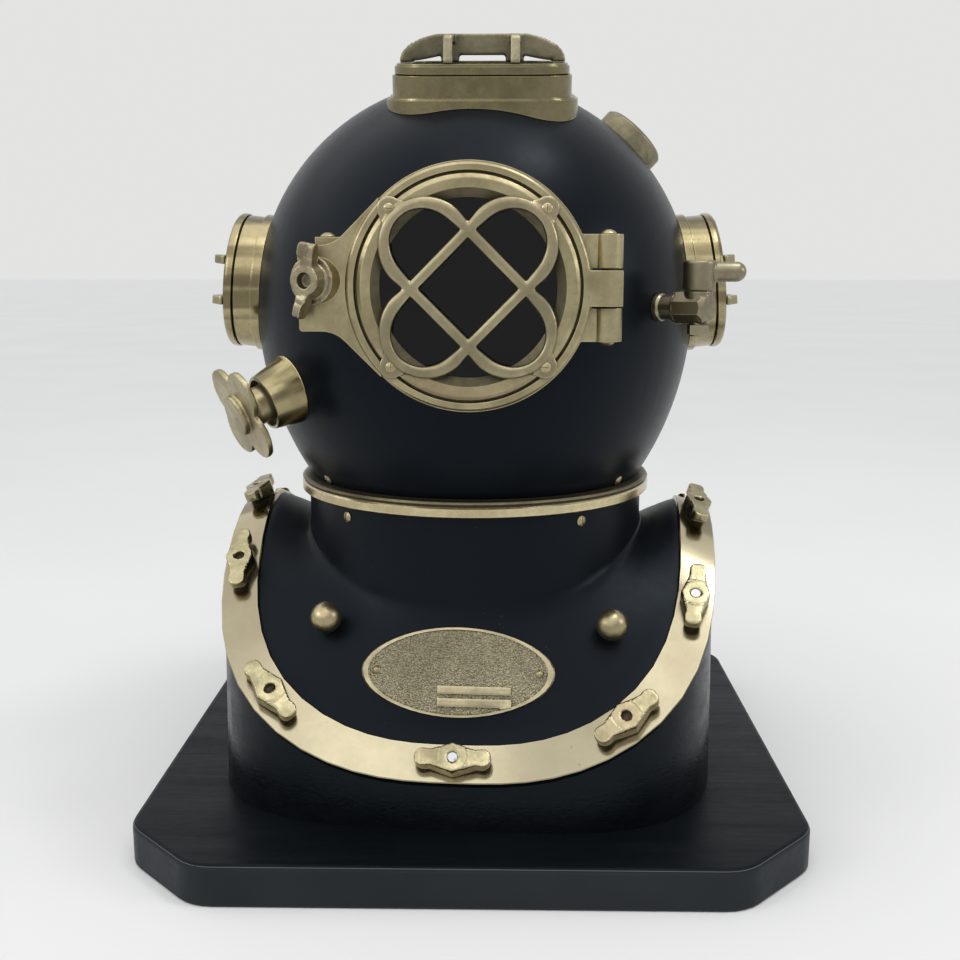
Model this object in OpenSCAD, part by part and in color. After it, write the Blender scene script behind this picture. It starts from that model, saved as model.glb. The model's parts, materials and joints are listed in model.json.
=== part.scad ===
// Copper diving helmet with brass fittings on a painted wooden stand.
// The frame stands on z = 0 under the middle of the base board, with the
// faceplate towards -Y and +Z up. All lengths are millimetres.

/* [Stand] */
// Side of the square base board
board_w = 422; // [410:1:520]
// Thickness of the base board
board_t = 26; // [18:1:40]
// How far each corner of the board is cut back along its sides
corner_cut = 50; // [30:1:70]
// Radius where a cut corner meets a side
corner_round = 30; // [10:1:40]
// Bevel round the board's top edge
board_bevel = 2; // [1:0.5:4]
// How far the plinth's foot stands out past the strap
plinth_flare = 2; // [0:0.5:6]
// Shank diameter of the screws that hold the plinth
stand_screw_d = 5; // [3:0.5:8]
// Length of the screws that hold the plinth
stand_screw_l = 42; // [30:1:50]

/* [Breastplate] */
// Turn of the breastplate and plinth on the board, as photographed
chest_turn = -3.5; // [-6:0.5:6]
// Half width of the breastplate rim, side to side
rim_half_w = 166; // [155:1:190]
// Half depth of the breastplate rim, front to back
rim_half_d = 167; // [160:1:190]
// Squareness of the rim seen from above
rim_power = 3.7; // [2:0.05:4.5]
// Height of the rim above the board at the front and back
rim_low = 30; // [24:1:40]
// Height of the rim above the board at the shoulders
rim_high = 167.5; // [150:0.5:176]
// Width of the rim strap seen from above, front and back
strap_w = 18.5; // [16:0.5:24]
// Width of the rim strap seen from above, at the shoulders
strap_shoulder_w = 23; // [20:1:30]
// Rise across the strap at the front and back
strap_rise = 17; // [12:1:22]
// Rise across the strap at the shoulders
strap_shoulder_rise = 7; // [2:1:12]
// Thickness of the rim strap
strap_t = 2.6; // [1.5:0.1:4]
// Outer radius of the neck
neck_r = 118; // [112:1:119]
// Height of the crease under the neck at the front, above the board
crease_low = 123; // [110:1:135]
// Height of the crease under the neck at the shoulders, above the board
crease_high = 161; // [155:1:172]
// How sharply the rim climbs to the shoulders
rise_power = 3.1; // [2.5:0.1:5]
// Thickness of the breastplate metal
plate_t = 3; // [2:0.2:5]
// Diameter of the strap studs
stud_d = 6; // [5:0.5:8]
// How deep the studs sit in the plinth
stud_depth = 14; // [8:1:16]
// Diameter of the two ball studs
ball_d = 20; // [14:1:24]
// Length of the oval nameplate
nameplate_l = 113; // [90:1:124]
// Height of the oval nameplate along the chest
nameplate_h = 56; // [40:1:60]
// Thickness of the nameplate
nameplate_t = 1.6; // [1:0.1:3]

/* [Wing nuts] */
// Span of a wing nut from tip to tip
nut_span = 47; // [40:1:54]
// Diameter of a wing nut's hub
nut_hub_d = 17; // [14:1:20]
// Height of a wing nut's hub
nut_h = 8.5; // [7:0.5:13]
// How far the wings' tips stand above the hub
nut_wing_rise = 4; // [1:0.5:5]
// How far the wings' tips stand clear of the hub's underside
nut_wing_lift = 5; // [4:0.5:7]
// Width of a wing seen from above
nut_wing_w = 13; // [8:0.5:14]

/* [Neck joint] */
// Height of the breastplate ring's underside above the board
neck_top = 185; // [182:1:190]
// How far the neck rings stand out past the neck
ring_out = 5; // [3:0.5:10]
// Height of the breastplate ring's band
ring_h = 7; // [5:0.5:9]
// Height of the bonnet ring's lip
lip_h = 2.8; // [2:0.2:4]
// Thickness of the leather washer between the rings
washer_t = 0.8; // [0.5:0.1:1.5]
// Distance from the neck's outer face to the bore of its ring
ring_wall = 6; // [5:0.5:8]
// How far each interrupted thread stands out
thread_depth = 3.2; // [2:0.2:4]
// Height of one interrupted thread
thread_h = 2.4; // [1.5:0.1:3]
// Distance from one thread to the next
thread_pitch = 5.6; // [5:0.2:7]
// Angle covered by each of the four thread sectors
thread_arc = 40; // [30:1:43]
// Play between mating threads
thread_play = 0.35; // [0.25:0.05:0.5]
// Shank diameter of the small slotted screws
small_screw_d = 3; // [2.5:0.1:4]

/* [Bonnet] */
// Outer radius of the dome's upper half
dome_r = 150; // [148:1:152]
// Wall of the dome
dome_t = 3; // [2:0.2:5]
// Height of the dome's centre above the board
dome_h = 312; // [310:1:316]
// How far the dome's foot stands in from the neck's outer face
foot_in = 2.3; // [0:0.1:4]

/* [Door] */
// Height of the door's centre above the dome's centre
door_z = 14.5; // [10:0.5:18]
// Outer radius of the door
door_r = 69; // [67:0.5:71]
// How far the door seat's face stands in front of the dome
seat_stand = 7.5; // [5:0.5:12]
// How far the door seat stands out past the door's edge
seat_out = 1.5; // [0:0.5:4]
// Width of the door seat
seat_w = 18.5; // [17:0.5:21]
// Width of the door seat's gasket
gasket_w = 7; // [4:0.5:8]
// Thickness of the door's rim
door_t = 7.8; // [7:0.1:9]
// Distance from the door's edge to the edge of its glass
glass_in = 11; // [10:0.5:13]
// Thickness of the door's glass
glass_t = 3.4; // [2.5:0.1:4]
// How far the glass retainer covers the glass
retainer_w = 8.5; // [7:0.5:11]
// Distance from the door's edge to the hinge pin
hinge_out = 10; // [9:0.5:13]
// Radius of the hinge knuckles
knuckle_r = 8.5; // [7:0.5:9]
// Height of each hinge knuckle
knuckle_h = 19; // [16:0.5:22]
// Diameter of the hinge pin and the latch pin
pin_d = 6; // [5:0.5:7]
// Running clearance of every pin, spindle and nut, on the radius
fit = 0.06; // [0.02:0.01:0.1]

/* [Door guard] */
// Distance from a loop's middle line to its bar's middle
loop_half = 22.7; // [20:0.1:24]
// Width of a guard bar
bar_w = 5.8; // [4:0.2:8]
// Thickness of a guard bar
bar_t = 4.6; // [3.5:0.1:6]
// Distance from the end of a loop's bar to its screw
guard_land = 5.8; // [5:0.1:8]
// Thickness of the guard's screw tabs
tab_t = 2.2; // [1.5:0.1:3]

/* [Latch] */
// How far the latch plate reaches past the door's edge
latch_out = 26.5; // [21:0.5:28]
// Height of the latch screw above the door's centre
latch_rise = 4.5; // [0:0.5:6]
// Height of the latch plate
latch_h = 48; // [44:1:52]
// Angle at which the latch screw leans outwards
latch_lean = 22; // [18:1:26]
// Diameter of the latch screw
latch_d = 8; // [6:0.5:9]

/* [Side ports] */
// Angle of the side ports above level
side_lift = 6; // [4:0.5:8]
// Outer radius of a side port's band
side_r = 45; // [43:0.5:47]
// How far a side port's band stands out past the dome
side_stand = 11; // [8:0.5:14]
// Wall of a side port's band
side_wall = 11; // [9:0.5:15]
// Thickness of the side and top glasses
port_glass_t = 3.4; // [3:0.2:4]
// Height of the rings that hold the side and top glasses
port_ring_h = 6.2; // [5.6:0.2:8]
// Height of a side guard's web above its ring
side_web_h = 3.6; // [3:0.2:6]
// Height of a side guard's two bars above its ring
side_bar_h = 8.4; // [7:0.2:12]

/* [Top port] */
// Half width of the top port's body
top_half_w = 56.3; // [54:0.1:60]
// Half depth of the top port's body
top_half_d = 43.5; // [41:0.1:46]
// Corner radius of the top port's body
top_round = 28; // [20:1:34]
// Wall of the top port's body
top_wall = 11; // [9:0.5:13]
// How far the top port leans to the front
top_lean = 11; // [8:1:14]
// How far the top port's axis lies in front of the dome's centre
top_ahead = 17.5; // [14:0.5:20]
// How far the top port's axis lies to the wearer's left of the middle
top_aside = 6; // [0:0.5:8]
// Distance from the dome's centre to the end of the top port's body
top_end = 154; // [152:0.5:158]
// Height of the top guard above its ring
top_guard_h = 16.8; // [14:0.2:20]

/* [Valves] */
// Angle of the exhaust valve round from the front
exhaust_turn = 55; // [53:0.2:58]
// Angle of the exhaust valve below level
exhaust_drop = 20; // [17:0.1:22]
// Radius of the exhaust valve's body at the dome
exhaust_r = 22; // [18:0.5:23]
// Radius of the exhaust valve's body at its outer end
exhaust_tip_r = 18; // [17:0.1:19]
// Length of the exhaust valve's body outside the dome
exhaust_l = 22; // [18:0.5:26]
// Radius of the exhaust handwheel's neck
wheel_neck = 12; // [9:0.5:14]
// Radius of the exhaust handwheel to its petal tips
wheel_r = 34; // [28:0.5:36]
// Angle of the spitcock round from the front
spit_turn = 50.5; // [46:0.5:53]
// Angle of the spitcock's body above level
spit_lift = 0.7; // [0:0.1:2]
// Distance from the dome to the spitcock's spindle
spit_l = 28; // [24:0.5:34]
// Radius of the spitcock's outer barrel
spit_r = 9.5; // [8:0.5:10.5]
// Length of the spitcock's lever from its spindle
lever_l = 28; // [22:1:32]
// Angle of the air boss round from the front
air_turn = 96; // [92:1:100]
// Angle of the air boss above level
air_rise = 46.2; // [44:0.1:50]
// Height of the air boss above the dome
air_h = 11; // [9:0.5:15]
// Outer radius of the air boss
air_r = 24; // [22:0.5:26]
// Bore radius of the air boss
air_bore = 15; // [12:0.5:17]
// Depth of the air boss bore
air_depth = 8; // [6:0.5:9]

/* [Hidden] */
$fn = 96;

// Colours of the finishes
black_paint = "#14171c";
brass = "#a08c52";
bright_brass = "#c2a15f";
glass_tint = [0.25, 0.28, 0.3, 0.5];
leather = "#3a2a1e";

// Clearances
seat_gap = 0.1;
body_gap = 0.35;
strap_gap = 0.2;
steps = 72;
top_of_board = board_t;
stud_angles = [0, 36, 60, 83, 111, 139, 180, 221, 249, 272, 294.5, 320];

// Places along the axis and radii round it
dome_z = top_of_board + dome_h;
ring_z = top_of_board + neck_top;
ring_r = neck_r + ring_out;
ring_bore = neck_r - ring_wall;
lip_z = ring_z + ring_h + washer_t + 0.3;
dome_drop = dome_z - lip_z - lip_h - seat_gap;
foot_r = neck_r - foot_in;

// The dome's lower wall is an arc centred past the axis by this much
dome_swell = (foot_r * foot_r + dome_drop * dome_drop - dome_r * dome_r)
    / (2 * (dome_r - foot_r));

// Door, hinge and latch
seat_y = dome_r + seat_stand;
seat_r = door_r + seat_out;
seat_bore = seat_r - seat_w;
door_face = seat_y + 1;
door_front = door_face + door_t;
glass_r = door_r - glass_in;
retainer_bore = glass_r - retainer_w;
retainer_back = door_face + 3.2 + glass_t + seat_gap;
guard_screw_r = glass_r + 3.4;
guard_z = door_front + 2;
loop_reach = guard_screw_r - guard_land - loop_half;
hinge_x = door_r + hinge_out;
hinge_y = seat_y - 5.5;
pin_r = pin_d / 2;
latch_x = door_r + latch_out;
latch_pin_x = hinge_x + 1;
latch_pin_y = hinge_y - 1.5;
latch_z = dome_z + door_z + latch_rise;

// Distance from the latch pin to the face that the latch screw bears on
latch_seat = 17.4;

// How far the latch's ears reach in over the door seat
ear_reach = 14;

// Ports and valves
side_x = dome_r + side_stand;
side_ring_x = side_x + 0.6;
side_bore = side_r - side_wall;
top_ring_z = top_end + 0.6;

// How far a port's body reaches in past the edge of its hole in the dome
port_lip = 6;
exhaust_end = dome_r + exhaust_l;
spit_spindle = dome_r + spit_l;
spindle_r = spit_r / 2 - 0.25;
spit_boss_z = spit_r + 0.7;
air_top = dome_r + air_h;
small_screw_r = small_screw_d / 2;

// Vectors and outlines

function unit(v) = v / norm(v);
function shortest(a) = a > 180 ? a - 360 : a < -180 ? a + 360 : a;

// Arc that rounds corner b between a and c with radius r
function corner_arc(a, b, c, r, n) =
    let (u = unit(a - b), w = unit(c - b), half = acos(u * w) / 2,
         centre = b + unit(u + w) * r / sin(half),
         s = b + u * r / tan(half) - centre,
         e = b + w * r / tan(half) - centre,
         from = atan2(s.y, s.x), turn = shortest(atan2(e.y, e.x) - from))
    [for (i = [0:n]) centre + r * [cos(from + turn * i / n),
                                   sin(from + turn * i / n)]];

// Outline through points, with one radius for each, 0 for a sharp corner
function rounded(points, radii, n = 5) =
    let (last = len(points) - 1)
    [for (i = [0:last])
        each radii[i] == 0 ? [points[i]] : corner_arc(
            points[(i + last) % (last + 1)], points[i],
            points[(i + 1) % (last + 1)], radii[i], n)];

// The board's outline, drawn in by an inset
function board_outline(inset) =
    let (h = board_w / 2 - inset,
         c = h - corner_cut + inset * (1 - tan(22.5)))
    rounded([[h, -c], [h, c], [c, h], [-c, h],
             [-h, c], [-h, -c], [-c, -h], [c, -h]],
            [for (i = [0:7]) corner_round - inset], 4);

// Solid between closed sections of equal length, capped at both ends
// or joined from the last section back to the first. Each face is split
// along one diagonal, or the other if crossed, so that neighbours match.
module skin(sections, closed = false, crossed = false) {
    n = len(sections);
    m = len(sections[0]);
    last = closed ? n - 1 : n - 2;
    sides = [for (i = [0:last], j = [0:m - 1])
        let (a = i * m + j, b = i * m + (j + 1) % m,
             c = ((i + 1) % n) * m + (j + 1) % m, d = ((i + 1) % n) * m + j)
        each crossed ? [[a, d, b], [b, d, c]] : [[a, c, b], [a, d, c]]];
    caps = closed ? [] : [[for (j = [0:m - 1]) j],
                          [for (j = [m - 1:-1:0]) (n - 1) * m + j]];
    polyhedron(points = [for (s = sections) each s],
               faces = concat(sides, caps), convexity = 8);
}

// Breastplate surface
// An angle t of 0 is the front and 90 the wearer's left shoulder.
// A profile point is [distance from the axis, height].

function climb(t) = pow(abs(sin(t)), rise_power);
function mix(a, b, f) = a + (b - a) * f;
function plan_r(t, a, b) = pow(pow(abs(sin(t)) / a, rim_power)
    + pow(abs(cos(t)) / b, rim_power), -1 / rim_power);
function rim_point(t) = [plan_r(t, rim_half_w, rim_half_d),
    top_of_board + mix(rim_low, rim_high, climb(t))];
function strap_point(t) = [
    plan_r(t, rim_half_w - strap_shoulder_w, rim_half_d - strap_w),
    top_of_board + mix(rim_low + strap_rise,
                       rim_high + strap_shoulder_rise, climb(t))];
function crease_point(t) = [neck_r,
    top_of_board + mix(crease_low, crease_high, climb(t))];
function out_normal(a, b) = let (d = unit(b - a)) [-d.y, d.x];
function chest_profile(t, f) =
    let (c = crease_point(t), s = strap_point(t))
    mix(c, s, f) + out_normal(c, s) * 6 * f * (1 - f);
function at_angle(t, p) =
    [p.x * sin(t + chest_turn), -p.x * cos(t + chest_turn), p.y];

// Point on the chest at angle t and share f of the way from the crease
// to the strap, and the direction square to the metal there
function chest_point(t, f) = at_angle(t, chest_profile(t, f));
function chest_normal(t, f) = unit(cross(
    chest_point(t + 0.5, f) - chest_point(t - 0.5, f),
    chest_point(t, f - 0.01) - chest_point(t, f + 0.01)));

// Outer line of the metal at angle t, from the neck down to the rim
function plate_outer(t) = let (c = crease_point(t)) [
    [neck_r, ring_z],
    c + [0, 6],
    c + [0.8, 2],
    chest_profile(t, 0) + (chest_profile(t, 0.08) - c) * 0.6 + [0.6, 0.6],
    chest_profile(t, 0.14),
    chest_profile(t, 0.35),
    chest_profile(t, 0.6),
    chest_profile(t, 0.85),
    strap_point(t),
    rim_point(t)];

// A line moved sideways, away from its outer side, by d
function inward(line, d) =
    let (last = len(line) - 1)
    [for (i = [0:last])
        line[i] - d * out_normal(line[max(i - 1, 0)],
                                 line[min(i + 1, last)])];
function backward(line) = [for (i = [len(line) - 1:-1:0]) line[i]];
function section_at(t, line) = [for (p = line) at_angle(t, p)];
function flange_line(t, h) =
    let (s = strap_point(t), r = rim_point(t), n = out_normal(s, r))
    [s + n * h, r + n * h];

// Puts children on the middle of the strap flange at angle t, with +Z
// away from the metal and +X along the strap
module on_flange(t) {
    line = flange_line(t, 0);
    middle = (line[0] + line[1]) / 2;
    n = out_normal(line[0], line[1]);
    ahead = at_angle(t + 1, (flange_line(t + 1, 0)[0]
                             + flange_line(t + 1, 0)[1]) / 2);
    here = at_angle(t, middle);
    up = unit(cross(ahead - here, here - at_angle(t, line[0])));
    z_axis = up * at_angle(t, n) > 0 ? up : -up;
    x_axis = unit(ahead - here - z_axis * ((ahead - here) * z_axis));
    y_axis = cross(z_axis, x_axis);
    multmatrix([
        [x_axis.x, y_axis.x, z_axis.x, here.x],
        [x_axis.y, y_axis.y, z_axis.y, here.y],
        [x_axis.z, y_axis.z, z_axis.z, here.z],
        [0, 0, 0, 1]]) children();
}

// Common shapes

module tube(r_out, r_in, z0, z1) {
    translate([0, 0, z0]) difference() {
        cylinder(r = r_out, h = z1 - z0);
        translate([0, 0, -1]) cylinder(r = r_in, h = z1 - z0 + 2);
    }
}

// Slotted screw with its head's underside at z = 0 and its shank below
module slotted_screw(head_r, head_h, shank_r, shank_l, slot_turn = 0) {
    difference() {
        intersection() {
            cylinder(r = head_r, h = head_h);
            translate([0, 0, head_h - 1.6 * head_r])
                sphere(r = 1.6 * head_r);
        }
        rotate(slot_turn) translate([-head_r - 1, -0.4, head_h * 0.45])
            cube([2 * head_r + 2, 0.8, head_h]);
    }
    translate([0, 0, -shank_l]) cylinder(r = shank_r, h = shank_l);
}

// Flat shape with straight sides and four round corners
module rounded_rectangle(half_w, half_d, r) {
    square([2 * half_w, 2 * (half_d - r)], center = true);
    square([2 * (half_w - r), 2 * half_d], center = true);
    for (x = [-1, 1], y = [-1, 1])
        translate([x * (half_w - r), y * (half_d - r)]) circle(r = r);
}

// Turns +Z to the direction that is turn degrees round from the front
// and lift degrees above level, seen from the dome's centre
module radial(turn, lift) {
    translate([0, 0, dome_z]) rotate([0, 0, turn]) rotate([90 - lift, 0, 0])
        children();
}

// Turns +Z to the front, at the door's centre
module door_place() {
    translate([0, 0, dome_z + door_z]) rotate([90, 0, 0]) children();
}

// Stand

module base_board() {
    color(black_paint) difference() {
        union() {
            linear_extrude(board_t - board_bevel)
                polygon(board_outline(0));
            skin([for (step = [0, 1])
                [for (p = board_outline(step * board_bevel))
                    [p.x, p.y, board_t + (step - 1) * board_bevel]]]);
        }
        at_stand_screws() union() {
            translate([0, 0, -1]) cylinder(d = stand_screw_d + 0.4,
                                           h = board_t + 2);
            translate([0, 0, -1]) cylinder(d = stand_screw_d * 2.2,
                                           h = 1 + stand_screw_d * 0.9);
        }
    }
}

module at_stand_screws() {
    for (t = [45:90:315])
        let (p = at_angle(t, (strap_point(t) + rim_point(t)) / 2))
            translate([p.x, p.y, 0]) children();
}

module plinth() {
    color(black_paint) difference() {
        skin([for (i = [0:steps - 1])
            let (t = i * 360 / steps,
                 line = flange_line(t, -plate_t - strap_gap),
                 foot = [line[1].x + plinth_flare, top_of_board])
            section_at(t, [line[0], line[1], foot,
                           [line[0].x, top_of_board]])], true, true);
        at_stand_screws() cylinder(d = stand_screw_d,
                                   h = stand_screw_l + 1);
        for (t = stud_angles) on_flange(t)
            translate([0, 0, -plate_t - stud_depth])
                cylinder(d = stud_d + 0.2, h = stud_depth + plate_t + 5);
    }
}

module stand_screws() {
    color("silver") at_stand_screws() {
        translate([0, 0, 0.6]) difference() {
            cylinder(d = stand_screw_d * 2, h = stand_screw_d * 0.7);
            translate([-stand_screw_d, -0.5, -1])
                cube([2 * stand_screw_d, 1, 2.2]);
        }
        translate([0, 0, 1]) cylinder(d = stand_screw_d - 0.2,
                                      h = stand_screw_l - 1);
    }
}

// Breastplate

module breastplate_shell() {
    color(black_paint) difference() {
        skin([for (i = [0:steps - 1])
            let (t = i * 360 / steps, line = plate_outer(t))
            section_at(t, concat(line, backward(inward(line, plate_t))))],
            true);
        for (t = stud_angles) on_flange(t)
            translate([0, 0, -plate_t * 3]) cylinder(d = stud_d + 0.4,
                                                     h = plate_t * 4);
        at_neck_screws() translate([0, 0, -plate_t * 2])
            cylinder(r = small_screw_r + 0.2, h = plate_t * 3);
    }
}

module at_neck_screws() {
    for (a = [40, 140, 220, 320])
        rotate([0, 0, a + chest_turn]) translate([0, -neck_r, ring_z - 7])
            rotate([90, 0, 0]) children();
}

// Threads of one half of the neck joint: four sectors in two rows
module thread_rows(r_in, r_out, z_low) {
    for (row = [0, 1], a = [0:90:270])
        translate([0, 0, z_low + row * thread_pitch])
            rotate([0, 0, a - thread_arc / 2])
                rotate_extrude(angle = thread_arc)
                    translate([r_in, 0]) square([r_out - r_in, thread_h]);
}

module neck_ring() {
    spigot_r = neck_r - plate_t - seat_gap;
    color(bright_brass) difference() {
        union() {
            rotate_extrude() polygon([
                [ring_bore, ring_z - 16],
                [spigot_r, ring_z - 16],
                [spigot_r, ring_z + seat_gap],
                [ring_r - 1, ring_z + seat_gap],
                [ring_r, ring_z + 1],
                [ring_r, ring_z + ring_h - 1],
                [ring_r - 1, ring_z + ring_h],
                [ring_bore, ring_z + ring_h]]);
            thread_rows(ring_bore - thread_depth, ring_bore + 0.5,
                        ring_z - 16 + thread_h + thread_play);
        }
        at_neck_screws() translate([0, 0, -plate_t - 5])
            cylinder(r = small_screw_r + 0.1, h = plate_t + 8);
    }
}

module neck_ring_screws() {
    color(brass) at_neck_screws() translate([0, 0, 0.15])
        slotted_screw(3.4, 1.6, small_screw_r, 5.5, 90);
}

module neck_washer() {
    color(leather) tube(ring_r - 1.2, ring_bore + 1, ring_z + ring_h,
                        ring_z + ring_h + washer_t);
}

module rim_strap() {
    bevel = 0.6;
    color(bright_brass) difference() {
        skin([for (i = [0:steps - 1])
            let (t = i * 360 / steps, low = flange_line(t, strap_gap),
                 high = flange_line(t, strap_gap + strap_t),
                 across = unit(low[1] - low[0]) * bevel,
                 down = (high[0] - low[0]) / strap_t * bevel)
            section_at(t, [low[1], low[0], high[0] - down,
                           high[0] + across, high[1] - across,
                           high[1] - down])], true, true);
        for (t = stud_angles) on_flange(t) translate([0, 0, -1])
            cylinder(d = stud_d + 0.6, h = strap_t + 4);
    }
}

module rim_studs() {
    color(brass) for (t = stud_angles) on_flange(t)
        translate([0, 0, -plate_t - stud_depth + 1])
            cylinder(d = stud_d, h = stud_depth + plate_t + strap_t
                                     + nut_h - 1.6);
}

// Puts children on the chest, lifted off it by h, with +Z square to it
module on_chest(t, f, h) {
    n = chest_normal(t, f);
    translate(chest_point(t, f) + n * h)
        rotate([0, acos(n.z), atan2(n.y, n.x)]) children();
}

module ball_studs() {
    color(brass) for (p = [[-37.5, 0.37], [41, 0.47]]) on_chest(p[0], p[1], 0.3) {
        cylinder(r = ball_d * 0.2, h = ball_d * 0.2);
        translate([0, 0, ball_d / 2 + 0.9]) sphere(d = ball_d);
    }
}

// Place on the chest, as angle and share, that lies u to the side of the
// plate's middle and v above it when seen square to the plate
plate_mid = 0.45;
function plate_spot(u, v) =
    let (slope = strap_point(0) - crease_point(0), drop = norm(slope),
         f = plate_mid - v / drop, t = asin(u / chest_profile(0, f).x),
         up = at_angle(0, -slope / drop),
         miss = (chest_point(t, f) - chest_point(0, plate_mid)) * up - v)
    [t, f + miss / drop];
function plate_point(u, v, h) = let (p = plate_spot(u, v))
    chest_point(p[0], p[1]) + chest_normal(p[0], p[1]) * h;

// Oval plate, as rings of points from the middle of its back, round its
// edge and raised rim, to the middle of its face
module nameplate() {
    low = 0.3;
    ground = low + nameplate_t;
    rings = [[0.04, low], [0.25, low], [0.5, low], [0.75, low], [1, low],
             [1, ground], [0.985, ground + 0.8], [0.94, ground + 0.8],
             [0.92, ground], [0.7, ground], [0.5, ground], [0.25, ground],
             [0.04, ground]];
    color(brass) skin([for (ring = rings)
        [for (i = [0:47]) let (a = i * 360 / 48)
            plate_point(nameplate_l / 2 * ring[0] * cos(a),
                        nameplate_h / 2 * ring[0] * sin(a), ring[1])]]);
}

module nameplate_rivets() {
    color(brass) for (side = [-1, 1])
        let (p = plate_spot(side * nameplate_l * 0.43, 0))
            on_chest(p[0], p[1], nameplate_t + 0.4) intersection() {
                cylinder(r = 2.4, h = 1.6);
                translate([0, 0, -1.4]) sphere(r = 3);
            }
}

// One wing nut, sitting on the strap at the stud with this number
module wing_nut(number) {
    foot = strap_gap + strap_t + body_gap;
    tip = nut_span / 2;
    half = nut_wing_w / 2;
    hub = nut_hub_d / 2;
    rise = nut_h + nut_wing_rise;
    color(brass) on_flange(stud_angles[number - 1])
        translate([0, 0, foot]) difference() {
            union() {
                cylinder(r = hub, h = nut_h);
                intersection() {
                    linear_extrude(rise) polygon(rounded(
                        [[0, -hub * 0.8], [hub * 1.1, -half * 0.66],
                         [tip, -half], [tip, half],
                         [hub * 1.1, half * 0.66], [0, hub * 0.8],
                         [-hub * 1.1, half * 0.66], [-tip, half],
                         [-tip, -half], [-hub * 1.1, -half * 0.66]],
                        [0, 3, half * 0.8, half * 0.8, 3,
                         0, 3, half * 0.8, half * 0.8, 3], 4));
                    rotate([90, 0, 0]) translate([0, 0, -20])
                        linear_extrude(40) polygon(rounded([
                            [-tip, nut_wing_lift], [-hub, 0.5], [hub, 0.5],
                            [tip, nut_wing_lift], [tip, rise],
                            [tip - 4, rise], [hub * 0.9, nut_h - 1],
                            [-hub * 0.9, nut_h - 1],
                            [-tip + 4, rise], [-tip, rise]],
                            [2, 0, 0, 2, 2, 1.6, 2, 2, 1.6, 2], 4));
                }
            }
            translate([0, 0, -1])
                cylinder(r = stud_d / 2 + fit, h = nut_h + 4);
        }
}

// Bonnet

// The dome as a full body, grown outwards by g and cut off drop below
// its centre
module dome_body(g, drop) {
    translate([0, 0, dome_z]) rotate_extrude($fn = 240) union() {
        intersection() {
            circle(r = dome_r + g, $fn = 240);
            square(2 * dome_r);
        }
        intersection() {
            translate([-dome_swell, 0])
                circle(r = dome_r + dome_swell + g, $fn = 240);
            translate([0, -drop]) square([2 * dome_r, drop]);
        }
    }
}

module bonnet_dome() {
    color(black_paint) difference() {
        dome_body(0, dome_drop);
        dome_body(-dome_t, dome_drop + 1);
        door_place() cylinder(r = seat_bore + port_lip + 2, h = 2 * dome_r);
        for (side = [-1, 1]) side_place(side)
            cylinder(r = side_bore + port_lip, h = 2 * dome_r);
        top_place() top_layer(port_lip - top_wall, 0, 2 * dome_r);
        radial(-exhaust_turn, -exhaust_drop)
            cylinder(r = wheel_neck - 4, h = 2 * dome_r);
        radial(spit_turn, spit_lift) cylinder(r = 3, h = 2 * dome_r);
        radial(air_turn, air_rise) cylinder(r = air_bore * 0.6, h = 2 * dome_r);
        at_bonnet_screws() translate([0, 0, -8])
            cylinder(r = small_screw_r + 0.2, h = 16);
    }
}

// The screws above the neck ring, square to the dome's wall
module at_bonnet_screws() {
    low = 112;
    tilt = asin(low / (dome_r + dome_swell));
    r = (dome_r + dome_swell) * cos(tilt) - dome_swell;
    for (a = [54, 126, 234, 306])
        rotate([0, 0, a]) translate([0, -r, dome_z - low])
            rotate([90 + tilt, 0, 0]) children();
}

module bonnet_ring() {
    skirt_r = ring_bore - thread_depth - 0.8;
    skirt_low = ring_z - 16.5;
    top = lip_z + lip_h;
    color(brass) difference() {
        union() {
            rotate_extrude() polygon([
                [skirt_r - 3, skirt_low],
                [skirt_r, skirt_low],
                [skirt_r, lip_z],
                [ring_r - 1, lip_z],
                [ring_r, lip_z + 1],
                [ring_r - 0.8, top - 0.6],
                [ring_r - 2, top],
                [skirt_r - 3, top]]);
            thread_rows(skirt_r - 0.5, ring_bore - 0.8, skirt_low + 0.3);
            intersection() {
                dome_body(-dome_t - seat_gap, dome_drop + 5);
                tube(ring_r, skirt_r - 3, top - 0.5, top + 14);
            }
        }
        at_bonnet_screws() translate([0, 0, -12])
            cylinder(r = small_screw_r + 0.1, h = 20);
    }
}

module bonnet_ring_screws() {
    color(brass) at_bonnet_screws() translate([0, 0, 0.15])
        slotted_screw(3.4, 1.6, small_screw_r, 6, 60);
}

// Door seat with the hinge's fixed knuckles and the latch's ears
module door_seat() {
    color(brass) difference() {
        union() {
            door_place() cylinder(r = seat_r, h = seat_y);
            for (side = [-1, 1])
                knuckle(side * (knuckle_h + 1.6), knuckle_h, -1);
            latch_ears();
        }
        door_place() cylinder(r = seat_bore, h = dome_r * 2);
        dome_body(seat_gap, dome_drop);
        translate([hinge_x, -hinge_y, dome_z + door_z - 60])
            cylinder(r = pin_r + fit, h = 120);
        translate([-latch_pin_x, -latch_pin_y, dome_z + door_z - 60])
            cylinder(r = pin_r + fit, h = 120);
    }
}

// A knuckle on an arm that reaches back to the door's middle, drawn
// behind the seat's face or, for the door, in front of it
module knuckle(z, h, face) {
    front = face < 0 ? seat_y : door_front - 0.4;
    back = face < 0 ? hinge_y - 4 : door_face;
    reach = face < 0 ? hinge_x : hinge_x + knuckle_r - 1;
    translate([0, 0, dome_z + door_z + z - h / 2]) {
        translate([hinge_x, -hinge_y, 0]) cylinder(r = knuckle_r, h = h);
        translate([hinge_x - 22, -front, 0])
            cube([reach - hinge_x + 22, front - back, h]);
    }
}

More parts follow.
